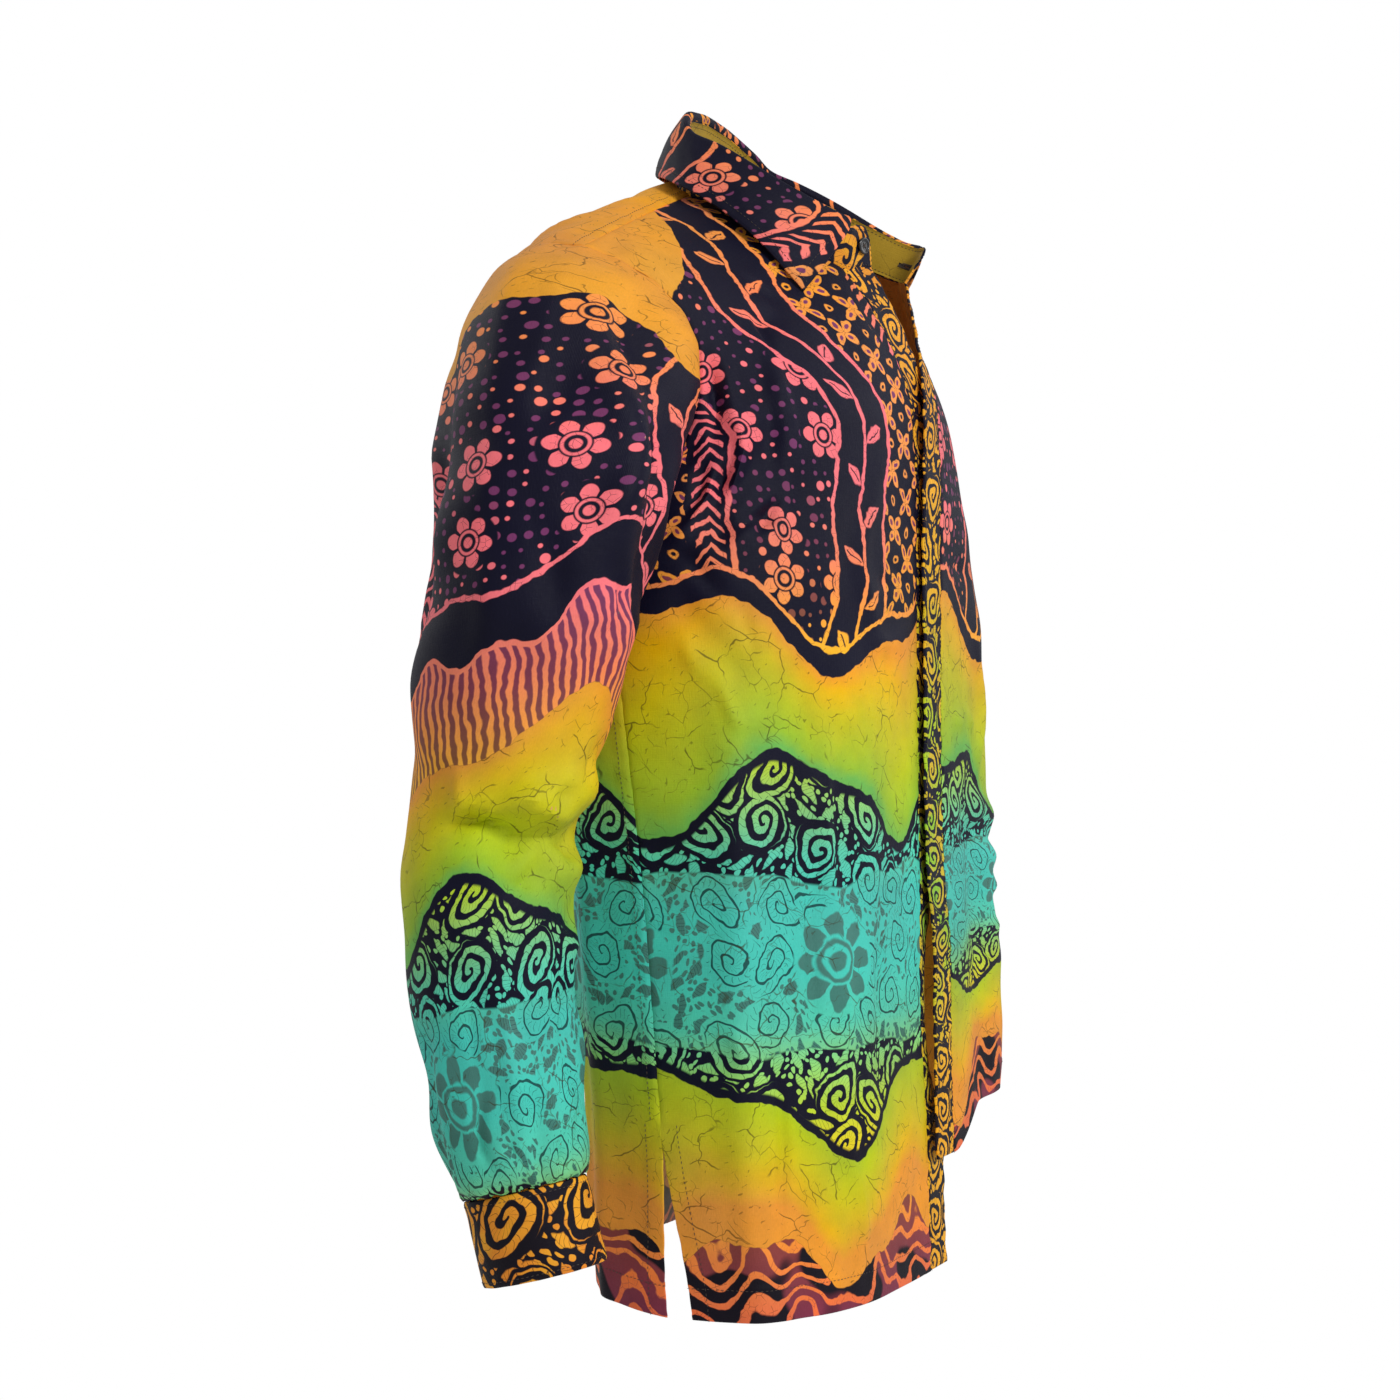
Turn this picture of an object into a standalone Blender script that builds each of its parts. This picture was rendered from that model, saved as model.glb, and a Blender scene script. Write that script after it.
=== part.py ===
"""Long-sleeved batik shirt in the form that it has when it is worn. Metres, +Z up.

The front faces -Y and the wearer's right is -X. The origin is between the shoulders, at the
height where the yoke meets the base of the neck. Every cloth piece is a thin wall whose outer
face follows a few curves and whose inner face lies WALL inside it.
"""

import math
from collections import namedtuple

import bmesh
import bpy
from mathutils import Vector

# ---------------------------------------------------------------- driving sizes
WALL = 0.0016
SEAM_GAP = 0.0003

HEM_Z = -0.698
SLIT_TOP_Z = -0.580
UNDERARM_Z = -0.240
CHEST_HALF_WIDTH = 0.206
HEM_HALF_WIDTH = 0.205
SLIT_OPEN = 0.017
BACK_HEM_RISE = 0.012

BAND_WIDTH = 0.034
FLY_STEP = 0.0048
FLY_GAP_WIDTH = 0.013
FLY_CURL = 2.2
BAND_TUCK = 0.0008
FLY_GAP_TOP_Z = -0.435
FLY_GAP_LOW_Z = -0.625

HITCH_TOP_Z = -0.36
HITCH_EDGE = 0.072
HITCH_FRONT = 0.097
HITCH_SIDE = 0.052

STAND_BACK_HEIGHT = 0.040
STAND_FRONT_HEIGHT = 0.027
# How far the stand tips out from upright, in degrees, at its right end, back and left end.
STAND_TIP = (2.0, -14.0, 34.0)
STAND_END_CUT = 0.45

CUFF_LENGTH = 0.050
CUFF_OVERLAP = 0.024
CUFF_DRIFT = 0.0020
CUFF_HALF_SIDE = 0.0345
CUFF_HALF_FORE = 0.0370

BUTTON_RADIUS = 0.0055
BUTTON_THICKNESS = 0.0022
BUTTON_SIDES = 12
COLLAR_BUTTON_SHARE = 0.75
FRONT_BUTTON_Z = (-0.190, -0.245, -0.300, -0.355, -0.410)

PANEL_COLUMNS = 14
PANEL_WIDTH = 0.29
FADE_AT_BAND = 0.02
FADE_AT_SIDE = 0.03
FADE_ROWS = 1.5
STEP = 0.004

NAVY = (0.018, 0.018, 0.045, 1.0)
ORANGE = (0.80, 0.27, 0.045, 1.0)
TEAL = (0.04, 0.52, 0.40, 1.0)
LIME = (0.45, 0.58, 0.02, 1.0)
GOLD = (0.85, 0.42, 0.02, 1.0)
BUTTON_DARK = (0.012, 0.012, 0.016, 1.0)

# ---------------------------------------------------------------- tables
# The body below the underarm: one row for each level, from the hem up. full is how boxy the
# curve from the centre to the side is, and steps is how many mesh rows reach the next level.
Level = namedtuple("Level", "z half_width side_y front_y back_y front_full back_full steps")
BODY = (
    Level(HEM_Z, HEM_HALF_WIDTH, -0.021, -0.1150, 0.086, 0.78, 0.66, 4),
    Level(SLIT_TOP_Z, 0.2050, -0.008, -0.1120, 0.092, 0.78, 0.66, 4),
    Level(-0.450, 0.2030, 0.004, -0.1080, 0.107, 0.76, 0.66, 3),
    Level(-0.335, 0.2050, 0.017, -0.1060, 0.128, 0.74, 0.66, 3),
    Level(UNDERARM_Z, CHEST_HALF_WIDTH, 0.030, -0.1055, 0.146, 0.70, 0.68, 2),
)
UNDERARM_ROW = 4

# Above the underarm each row runs from its inner point, on the band seam or the neckline,
# towards a corner point and round to its outer point, on the armhole. These are the right half.
Row = namedtuple("Row", "inner corner outer full steps")
FRONT_TOP = (
    Row((-0.0178, -0.1055, -0.190), (-0.178, -0.0980, -0.202), (-0.190, 0.004, -0.208), 0.70, 2),
    Row((-0.0200, -0.1000, -0.130), (-0.160, -0.0880, -0.152), (-0.174, -0.014, -0.165), 0.66, 2),
    Row((-0.0310, -0.0830, -0.083), (-0.138, -0.0680, -0.118), (-0.168, -0.018, -0.128), 0.66, 1),
    Row((-0.0400, -0.0630, -0.051), (-0.122, -0.0420, -0.092), (-0.171, -0.013, -0.101), 0.66, 1),
    Row((-0.0630, -0.0360, -0.036), (-0.126, -0.0200, -0.069), (-0.181, -0.001, -0.082), 0.60, 1),
    Row((-0.0730, 0.0020, -0.015), (-0.135, 0.0050, -0.041), (-0.197, 0.016, -0.067), 0.60, 2),
    Row((-0.0700, 0.0330, -0.003), (-0.144, 0.0360, -0.028), (-0.216, 0.037, -0.057), 0.60, 0),
)
NECK_CORNER_ROW = 8
SHOULDER_ROW = 11

# The yoke runs from the front shoulder seam over the shoulder to the back seam.
YOKE = (
    Row((-0.0700, 0.0330, -0.003), (-0.144, 0.0360, -0.028), (-0.216, 0.037, -0.057), 0.60, 1),
    Row((-0.0610, 0.0450, 0.005), (-0.146, 0.0570, -0.021), (-0.222, 0.060, -0.056), 0.60, 1),
    Row((-0.0390, 0.0555, 0.014), (-0.146, 0.0820, -0.022), (-0.219, 0.085, -0.066), 0.60, 2),
    Row((0.0, 0.0600, 0.018), (-0.140, 0.1060, -0.032), (-0.210, 0.103, -0.080), 0.60, 1),
    Row((0.0, 0.1060, -0.026), (-0.145, 0.1370, -0.061), (-0.200, 0.116, -0.098), 0.60, 2),
    Row((0.0, 0.1370, -0.087), (-0.155, 0.1560, -0.106), (-0.195, 0.124, -0.114), 0.64, 0),
)
CENTRE_BACK_ROW = 3

BACK_TOP = (
    Row((0.0, 0.1520, -0.190), (-0.202, 0.1700, -0.196), (-0.197, 0.072, -0.205), 0.72, 3),
    Row((0.0, 0.1490, -0.140), (-0.188, 0.1720, -0.154), (-0.190, 0.104, -0.158), 0.74, 2),
    Row((0.0, 0.1370, -0.087), (-0.155, 0.1560, -0.106), (-0.195, 0.124, -0.114), 0.64, 0),
)
BACK_TOP_ROW = 7

# The left front stands open at the neck, so its band seam takes its own way there.
LEFT_INNER = {
    5: (-0.0178, -0.1055, -0.190),
    6: (-0.0270, -0.1035, -0.132),
    7: (-0.0500, -0.0805, -0.086),
    8: (-0.0640, -0.0660, -0.047),
    9: (-0.0700, -0.0370, -0.034),
}
# The free edge of each band, from the underarm row to the neck.
RIGHT_BAND_EDGE = {
    5: (0.0165, -0.1050, -0.190),
    6: (0.0130, -0.1010, -0.132),
    7: (0.0010, -0.0900, -0.086),
    8: (-0.0090, -0.0715, -0.047),
}
LEFT_BAND_EDGE = {
    5: (0.0170, -0.1055, -0.190),
    6: (0.0070, -0.1070, -0.134),
    7: (-0.0230, -0.0910, -0.088),
    8: (-0.0380, -0.0790, -0.051),
}

# A fold runs on a panel from one point to another. across is metres from the centre line and
# z is its height. depth is out of the cloth where it is positive, and width is its half width.
Fold = namedtuple("Fold", "across_a z_a across_b z_b width depth")
RIGHT_FRONT_FOLDS = (
    Fold(0.205, -0.270, 0.225, -0.760, 0.020, 0.0045),
    Fold(0.150, -0.340, 0.165, -0.760, 0.022, -0.0045),
    Fold(0.070, -0.250, 0.085, -0.760, 0.028, 0.0040),
    Fold(0.205, -0.150, 0.120, -0.250, 0.018, -0.0060),
    Fold(0.190, -0.110, 0.150, -0.240, 0.014, 0.0050),
    Fold(0.250, -0.260, 0.180, -0.330, 0.014, -0.0035),
)
LEFT_FRONT_FOLDS = (
    Fold(0.120, -0.200, 0.110, -0.760, 0.034, 0.0060),
    Fold(0.185, -0.280, 0.190, -0.760, 0.020, -0.0050),
    Fold(0.050, -0.330, 0.060, -0.760, 0.020, -0.0040),
    Fold(0.030, -0.400, 0.180, -0.430, 0.012, 0.0045),
    Fold(0.060, -0.450, 0.230, -0.480, 0.012, 0.0040),
    Fold(0.205, -0.150, 0.120, -0.260, 0.018, -0.0060),
)
BACK_FOLDS = (
    Fold(-0.205, -0.130, -0.220, -0.330, 0.022, -0.0060),
    Fold(-0.155, -0.150, -0.170, -0.420, 0.024, 0.0050),
    Fold(-0.230, -0.330, -0.205, -0.760, 0.018, 0.0050),
    Fold(-0.130, -0.200, -0.120, -0.760, 0.022, -0.0060),
    Fold(-0.050, -0.220, -0.060, -0.760, 0.026, 0.0050),
    Fold(0.040, -0.200, 0.020, -0.760, 0.026, -0.0050),
    Fold(0.105, -0.230, 0.115, -0.760, 0.024, 0.0055),
    Fold(0.170, -0.150, 0.180, -0.700, 0.018, -0.0060),
    Fold(0.215, -0.130, 0.225, -0.380, 0.020, 0.0050),
    Fold(0.080, -0.430, 0.230, -0.470, 0.012, 0.0040),
)

# The right sleeve below its cap: one ring for each height. tilt lifts the ring's front.
Ring = namedtuple("Ring", "z x y half_side half_fore tilt steps")
SLEEVE = (
    Ring(-0.285, -0.2690, 0.0450, 0.0560, 0.0660, 0.0, 2),
    Ring(-0.345, -0.2760, 0.0540, 0.0530, 0.0590, 0.0, 2),
    Ring(-0.400, -0.2820, 0.0640, 0.0490, 0.0500, 0.0, 2),
    Ring(-0.450, -0.2850, 0.0640, 0.0480, 0.0500, 2.0, 2),
    Ring(-0.510, -0.2860, 0.0600, 0.0460, 0.0475, 4.0, 2),
    Ring(-0.560, -0.2850, 0.0530, 0.0450, 0.0460, 7.0, 1),
    Ring(-0.590, -0.2840, 0.0465, 0.0440, 0.0425, 10.0, 1),
    Ring(-0.604, -0.2830, 0.0435, 0.0415, 0.0395, 13.0, 1),
    Ring(-0.6115, -0.2825, 0.0425, CUFF_HALF_SIDE, CUFF_HALF_FORE, 14.0, 0),
)
CAP_ROWS = 7
# How the cap leaves the armhole: its direction at the underarm and at the top, its swing to the
# front and back, and how far it keeps these, as a share of the way to the first ring.
CAP_LEAD_UNDERARM = Vector((-0.75, 0.0, -0.60))
CAP_LEAD_TOP = Vector((-0.93, 0.0, -0.36))
CAP_SWING_FORE = 0.34
CAP_SWING_BACK = 0.10
CAP_REACH = 0.40
CAP_REACH_BACK = 0.30
# The way the cap comes down on the first ring, in front and behind.
CAP_FALL = Vector((0.05, -0.03, 1.0))
CAP_FALL_BACK = Vector((0.05, -0.23, 1.0))
CUFF_TILT = 14.0
CUFF_ROWS = 2
CUFF_COLUMNS = 26
# Sleeve folds lie at an angle round the sleeve, 0 towards the body and 90 to the front.
SleeveFold = namedtuple("SleeveFold", "angle_a z_a angle_b z_b width depth")
SLEEVE_FOLDS = (
    SleeveFold(40.0, -0.405, 170.0, -0.412, 0.010, -0.0060),
    SleeveFold(50.0, -0.378, 150.0, -0.388, 0.012, 0.0055),
    SleeveFold(30.0, -0.430, 120.0, -0.425, 0.011, 0.0045),
    SleeveFold(100.0, -0.350, 30.0, -0.395, 0.010, -0.0040),
    SleeveFold(110.0, -0.120, 70.0, -0.300, 0.014, -0.0065),
    SleeveFold(135.0, -0.110, 95.0, -0.330, 0.014, 0.0055),
    SleeveFold(215.0, -0.110, 250.0, -0.280, 0.014, -0.0060),
    SleeveFold(240.0, -0.120, 275.0, -0.330, 0.014, 0.0050),
    SleeveFold(215.0, -0.500, 240.0, -0.640, 0.010, -0.0040),
    SleeveFold(285.0, -0.520, 280.0, -0.640, 0.010, -0.0045),
    SleeveFold(130.0, -0.540, 140.0, -0.640, 0.010, -0.0035),
    SleeveFold(60.0, -0.540, 55.0, -0.640, 0.010, -0.0035),
)
PLACKET_ANGLE = 285.0
PLACKET_LENGTH_ROWS = 5

# The collar leaf's lower edge on the right, from the centre back to the point.
LeafEdge = namedtuple("LeafEdge", "along x y z")
LEAF_EDGE = (
    LeafEdge(0.00, 0.0, 0.0750, 0.0160),
    LeafEdge(0.25, -0.0500, 0.0660, 0.0150),
    LeafEdge(0.48, -0.0860, 0.0380, 0.0040),
    LeafEdge(0.68, -0.0960, 0.0040, -0.0145),
    LeafEdge(0.86, -0.0930, -0.0260, -0.0390),
    LeafEdge(1.00, -0.0840, -0.0530, -0.0710),
)
LEAF_INSET = 0.030
# The roll over the stand's top: out from the stand and up, in metres.
LEAF_ROLL = ((-0.0016, 0.0006), (-0.0014, 0.0038), (0.0008, 0.0062), (0.0038, 0.0050))
LEAF_FALL = (0.08, 0.38, 0.70, 1.0)
LEAF_CLEAR = 0.0016
LEAF_DROP = 0.004
LEAF_BULGE = 0.002
LEFT_LEAF_SHIFT = Vector((0.006, -0.004, 0.016))


# ---------------------------------------------------------------- curves
def ease(value):
    """A smooth step from 0 to 1."""
    value = min(1.0, max(0.0, value))
    return value * value * (3.0 - 2.0 * value)


def curve(points, t, breaks=()):
    """The smooth curve through points at row number t. At a break the curve may turn."""
    i = min(int(t), len(points) - 2)
    here, after = Vector(points[i]), Vector(points[i + 1])
    chord = after - here
    start, end = chord, chord
    if i > 0 and i not in breaks:
        start = (after - Vector(points[i - 1])) / 2
    if i + 2 < len(points) and i + 1 not in breaks:
        end = (Vector(points[i + 2]) - here) / 2
    f = t - i
    return (
        here * (2 * f**3 - 3 * f**2 + 1)
        + start * (f**3 - 2 * f**2 + f)
        + after * (3 * f**2 - 2 * f**3)
        + end * (f**3 - f**2)
    )


def row_steps(rows):
    """Row numbers of the mesh rows, evenly spaced between one table row and the next."""
    values = []
    for i, row in enumerate(rows[:-1]):
        values += [i + k / row.steps for k in range(row.steps)]
    return values + [float(len(rows) - 1)]


def across_row(rows, a, t, breaks_in, breaks_out):
    """A point a of the way from the inner to the outer edge of the row t."""
    inner = curve([r.inner for r in rows], t, breaks_in)
    corner = curve([r.corner for r in rows], t)
    outer = curve([r.outer for r in rows], t, breaks_out)
    full = curve([(r.full, 0.0, 0.0) for r in rows], t).x
    near, far = inner.lerp(corner, full), outer.lerp(corner, full)
    b = 1.0 - a
    return inner * b**3 + near * (3 * b * b * a) + far * (3 * b * a * a) + outer * a**3


def fold_depth(folds, across, z):
    """How far the folds stand out at this place."""
    total = 0.0
    for fold in folds:
        du, dz = fold[2] - fold[0], fold[3] - fold[1]
        t = ((across - fold[0]) * du + (z - fold[1]) * dz) / (du * du + dz * dz)
        if 0.0 < t < 1.0:
            off = math.hypot(across - fold[0] - t * du, z - fold[1] - t * dz) / fold.width
            total += fold.depth * math.exp(-off * off) * ease(t * 4) * ease((1 - t) * 4)
    return total


# ---------------------------------------------------------------- walls
def halves(ring):
    """The two triangles of four corners, split along the shorter way across."""
    if (ring[0].co - ring[2].co).length <= (ring[1].co - ring[3].co).length:
        return (0, 1, 2), (0, 2, 3)
    return (0, 1, 3), (1, 2, 3)


def wall(name, grid, normals, closed=False):
    """A closed wall whose outer face is the grid of points, WALL thick towards the inside."""
    rows, columns = len(grid), len(grid[0])
    bm = bmesh.new()
    keys = {}

    def vertex(point):
        key = tuple(round(c, 6) for c in point)
        if key not in keys:
            keys[key] = bm.verts.new(point)
        return keys[key]

    outer = [[vertex(p) for p in row] for row in grid]
    inner = [
        [vertex(p - n * WALL) for p, n in zip(row, ns)] for row, ns in zip(grid, normals)
    ]
    turns = columns if closed else columns - 1
    edges = {}
    for r in range(rows - 1):
        for c in range(turns):
            d = (c + 1) % columns
            ring = (outer[r][c], outer[r][d], outer[r + 1][d], outer[r + 1][c])
            back = (inner[r][c], inner[r][d], inner[r + 1][d], inner[r + 1][c])
            for corners in halves(ring):
                bm.faces.new([ring[k] for k in corners])
                bm.faces.new([back[k] for k in reversed(corners)])
            for k in range(4):
                pair = (ring[k], ring[(k + 1) % 4])
                twin = (back[k], back[(k + 1) % 4])
                if pair[::-1] in edges:
                    del edges[pair[::-1]]
                else:
                    edges[pair] = twin
    for pair, twin in edges.items():
        bm.faces.new((pair[1], pair[0], twin[0], twin[1]))
    return finish_mesh(name, bm)


def finish_mesh(name, bm):
    """Turns the faces outwards and makes the object."""
    bmesh.ops.recalc_face_normals(bm, faces=bm.faces)
    mesh = bpy.data.meshes.new(name)
    bm.to_mesh(mesh)
    bm.free()
    mesh.shade_smooth()
    mesh.set_sharp_from_angle(angle=math.radians(40))
    obj = bpy.data.objects.new(name, mesh)
    bpy.context.collection.objects.link(obj)
    return obj


def grid_of(surface, columns, rows, outward):
    """Points and outward normals of surface(a, t). Rows take their slope from below."""
    points, normals = [], []
    for t in rows:
        line, slopes = [], []
        for a in columns:
            a0, a1 = max(a - STEP, columns[0]), min(a + STEP, columns[-1])
            t0, t1 = (t - STEP, t) if t > rows[0] else (t, t + STEP)
            along = surface(a1, t) - surface(a0, t)
            up = surface(a, t1) - surface(a, t0)
            line.append(surface(a, t))
            slopes.append((along.cross(up) * outward).normalized())
        points.append(line)
        normals.append(slopes)
    return points, normals


def pull_back(points, rows=(), columns=()):
    """Moves the named edge rows and columns back from the seam by half of SEAM_GAP."""
    half = SEAM_GAP / 2
    moved = [[p.copy() for p in row] for row in points]
    for r, beside in rows:
        for c, p in enumerate(points[r]):
            moved[r][c] += (points[beside][c] - p).normalized() * half
    for c, beside in columns:
        for r, row in enumerate(points):
            moved[r][c] += (row[beside] - row[c]).normalized() * half
    return moved


def mirrored(point):
    return Vector((-point.x, point.y, point.z))


# ---------------------------------------------------------------- body panels
def swapped(rows, inner_points, first):
    """The rows with some inner points replaced, counted from the row number first."""
    return tuple(
        row._replace(inner=inner_points.get(first + i, row.inner)) for i, row in enumerate(rows)
    )


def front_rows(left):
    """All rows of one front, as a right half."""
    seam = -BAND_WIDTH / 2
    rise = FLY_STEP if left else 0.0
    lower = [
        Row(
            (seam, b.front_y - rise, b.z),
            (-b.half_width, b.front_y - rise, b.z),
            (-b.half_width, b.side_y, b.z),
            b.front_full,
            b.steps,
        )
        for b in BODY
    ]
    upper = swapped(FRONT_TOP, LEFT_INNER, UNDERARM_ROW + 1) if left else FRONT_TOP
    if left:
        x, y, z = upper[0].inner
        upper = (upper[0]._replace(inner=(x, y - rise, z)),) + upper[1:]
    return tuple(lower) + tuple(upper)


def back_rows():
    lower = []
    for i, b in enumerate(BODY):
        z = b.z if i else b.z + BACK_HEM_RISE
        inner, corner = (0.0, b.back_y, z), (-b.half_width, b.back_y, z)
        steps = b.steps if i < UNDERARM_ROW else 3
        lower.append(Row(inner, corner, (-b.half_width, b.side_y, b.z), b.back_full, steps))
    return tuple(lower) + BACK_TOP


def slit_shift(z, a, forward):
    """How far the slit's edge swings from the side seam at this height."""
    drop = ease((SLIT_TOP_Z - z) / (SLIT_TOP_Z - HEM_Z)) * ease(a * 2 - 1)
    return Vector((0.0, (-forward if forward else 1.0) * SLIT_OPEN / 2 * drop, 0.0))


def fly_shift(z, a):
    """Below the last button the two fronts part and close again towards the hem."""
    share = (FLY_GAP_TOP_Z - z) / (FLY_GAP_TOP_Z - FLY_GAP_LOW_Z)
    if not 0.0 < share < 1.0:
        return 0.0
    return FLY_GAP_WIDTH / 2 * math.sin(math.pi * share) ** 2 * (1.0 - ease(a * 3))


def hitched(point, a, front):
    """The left side is drawn up: a is 0 at the centre line and 1 at the side seam."""
    drop = ease((HITCH_TOP_Z - point.z) / (HITCH_TOP_Z - HEM_Z))
    if front:
        rise = HITCH_EDGE + (HITCH_FRONT - HITCH_EDGE) * ease(a * 6)
        rise += (HITCH_SIDE - HITCH_FRONT) * ease((a - 0.5) * 2)
    else:
        rise = HITCH_SIDE * ease(a)
    return point + Vector((0.0, 0.0, rise * drop))


def seam_window(a, near):
    """Folds fade out at the seams, so that neighbouring panels meet."""
    side = ease((1 - a) * PANEL_WIDTH / FADE_AT_SIDE)
    return side * ease(a * PANEL_WIDTH / near) if near else side


def front_surface(left):
    """surface(a, t) of one front: a runs from the band seam to the side, t from the hem up."""
    rows = front_rows(left)
    folds = LEFT_FRONT_FOLDS if left else RIGHT_FRONT_FOLDS

    def plain(a, t):
        p = across_row(rows, a, t, (NECK_CORNER_ROW,), (UNDERARM_ROW,))
        p += slit_shift(p.z, a, 1.0)
        p.x -= fly_shift(p.z, a)
        return p

    def surface(a, t):
        p = plain(a, t)
        a0, a1 = max(a - STEP, 0.0), min(a + STEP, 1.0)
        t0, t1 = max(t - STEP, 0.0), min(t + STEP, float(SHOULDER_ROW))
        out = (plain(a0, t) - plain(a1, t)).cross(plain(a, t1) - plain(a, t0)).normalized()
        fade = seam_window(a, FADE_AT_BAND) * ease((SHOULDER_ROW - t) / FADE_ROWS)
        p = p + out * (fold_depth(folds, a * PANEL_WIDTH, p.z) * fade)
        return hitched(mirrored(p), a, True) if left else p

    return surface


def back_surface():
    """surface(a, t) of the back: a is -1 at the right side, 0 at the centre and 1 at the left."""
    rows = back_rows()

    def plain(a, t):
        p = across_row(rows, abs(a), t, (), (UNDERARM_ROW,))
        p += slit_shift(p.z, abs(a), 0.0)
        return mirrored(p) if a > 0 else p

    def surface(a, t):
        p = plain(a, t)
        a0, a1 = max(a - STEP, -1.0), min(a + STEP, 1.0)
        t0, t1 = max(t - STEP, 0.0), min(t + STEP, float(BACK_TOP_ROW))
        out = (plain(a0, t) - plain(a1, t)).cross(plain(a, t1) - plain(a, t0)).normalized()
        fade = seam_window(abs(a), 0.0) * ease((BACK_TOP_ROW - t) / FADE_ROWS)
        p = p + out * (fold_depth(BACK_FOLDS, a * PANEL_WIDTH, p.z) * fade)
        return hitched(p, a, False) if a > 0 else p

    return surface


def yoke_surface(a, t):
    """Right half of the yoke: a runs from the neck or centre back to the armhole."""
    return across_row(YOKE, a, t, (CENTRE_BACK_ROW,), ())


def spread(count):
    return [i / count for i in range(count + 1)]


def front_grid(left):
    rows = row_steps(front_rows(left))
    points, normals = grid_of(
        front_surface(left), spread(PANEL_COLUMNS), rows, 1.0 if left else -1.0
    )
    return pull_back(points, rows=((-1, -2),), columns=((0, 1), (-1, -2))), normals


def back_grid():
    rows = row_steps(back_rows())
    columns = [i / PANEL_COLUMNS for i in range(-PANEL_COLUMNS, PANEL_COLUMNS + 1)]
    points, normals = grid_of(back_surface(), columns, rows, -1.0)
    return pull_back(points, rows=((-1, -2),), columns=((0, 1), (-1, -2))), normals


def yoke_grid():
    """Points and normals of the yoke's right half."""
    rows = row_steps(YOKE)
    points, normals = grid_of(yoke_surface, spread(PANEL_COLUMNS), rows, -1.0)
    points = pull_back(points, rows=((0, 1), (-1, -2)), columns=((-1, -2),))
    for t, row, slopes in zip(rows, points, normals):
        if t >= CENTRE_BACK_ROW:
            row[0].x = 0.0
            slopes[0] = Vector((0.0, slopes[0].y, slopes[0].z)).normalized()
    return points, normals


def share_normals(fronts, back, yoke):
    """Gives both sides of the shoulder and back yoke seams the same normals."""
    for k in range(PANEL_COLUMNS + 1):
        shoulder = (fronts[0][-1][k] + yoke[0][k]).normalized()
        fronts[0][-1][k] = yoke[0][k] = shoulder
        fronts[1][-1][k] = mirrored(shoulder)
        right, left = PANEL_COLUMNS - k, PANEL_COLUMNS + k
        behind = (back[-1][right] + yoke[-1][k]).normalized()
        if k == 0:
            behind = Vector((0.0, behind.y, behind.z)).normalized()
        back[-1][right] = yoke[-1][k] = behind
        back[-1][left] = mirrored(behind)


def build_yoke(points, normals):
    """Both halves of the yoke share their centre back points, so they make one piece."""
    rows = row_steps(YOKE)
    bm = bmesh.new()
    for side in (1.0, -1.0):
        flip = Vector((side, 1.0, 1.0))
        outer = [[bm.verts.new(p * flip) for p in row] for row in points]
        inner = [
            [bm.verts.new((p - n * WALL) * flip) for p, n in zip(row, slopes)]
            for row, slopes in zip(points, normals)
        ]
        last_row, last_column = len(points) - 1, PANEL_COLUMNS
        for r in range(last_row):
            for c in range(last_column):
                rings = [
                    (g[r][c], g[r][c + 1], g[r + 1][c + 1], g[r + 1][c]) for g in (outer, inner)
                ]
                for corners in halves(rings[0]):
                    for ring in rings:
                        bm.faces.new([ring[k] for k in corners])
        for c in range(last_column):
            for r in (0, last_row):
                bm.faces.new((outer[r][c], outer[r][c + 1], inner[r][c + 1], inner[r][c]))
        for r in range(last_row):
            for c in (0, last_column):
                if c or rows[r] < CENTRE_BACK_ROW:
                    bm.faces.new((outer[r][c], outer[r + 1][c], inner[r + 1][c], inner[r][c]))
    bmesh.ops.remove_doubles(bm, verts=bm.verts, dist=1e-6)
    finish_mesh("yoke", bm)


# ---------------------------------------------------------------- bands
def band_rows(left):
    """Seam edge and free edge of one band, hem to neck, as a right half with +X to the opening."""
    panel = front_rows(left)[: NECK_CORNER_ROW + 1]
    edges = LEFT_BAND_EDGE if left else RIGHT_BAND_EDGE
    seam = [row.inner for row in panel]
    free = [(BAND_WIDTH / 2, s[1] + (0.0 if left else BAND_TUCK), s[2]) for s in seam]
    for i, place in edges.items():
        free[i] = place
    if left:
        x, y, z = free[5]
        free[5] = (x, y - FLY_STEP, z)
    return seam, free


def band_surface(left):
    """surface(a, t): a runs from the free edge, just past the seam, to the seam."""
    seam, free = band_rows(left)

    def surface(a, t):
        s, f = curve(seam, t), curve(free, t)
        p = f.lerp(s, a)
        curl = fly_shift(p.z, 0.0)
        p.x -= curl
        if not left:
            p.y += curl * (1 - a) ** 2 * FLY_CURL
        return hitched(mirrored(p), 0.0, True) if left else p

    return surface


def build_band(left):
    rows = [t for t in row_steps(front_rows(left)) if t <= NECK_CORNER_ROW]
    points, normals = grid_of(band_surface(left), spread(2), rows, 1.0 if left else -1.0)
    points = pull_back(points, columns=((-1, -2),))
    wall("left_band" if left else "right_band", points, normals)
    return points


# ---------------------------------------------------------------- sleeves
def armhole(front, yoke, back):
    """The right armhole from the underarm up the front, over the shoulder and down the back."""
    underarm = sum(b.steps for b in BODY[:UNDERARM_ROW])
    loop = [row[-1] for row in front[underarm:]]
    loop += [row[-1] for row in yoke[1:]]
    loop += [row[0] for row in reversed(back[underarm + 1 : -1])]
    return loop


def ring_point(ring, angle):
    """A point on a sleeve ring: 0 is towards the body and a quarter turn is the front."""
    z, x, y, half_side, half_fore, tilt = ring
    tilt = math.radians(tilt)
    fore = half_fore * math.sin(angle)
    return Vector(
        (
            x + half_side * math.cos(angle),
            y - fore * math.cos(tilt),
            z + fore * math.sin(tilt),
        )
    )


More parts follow.
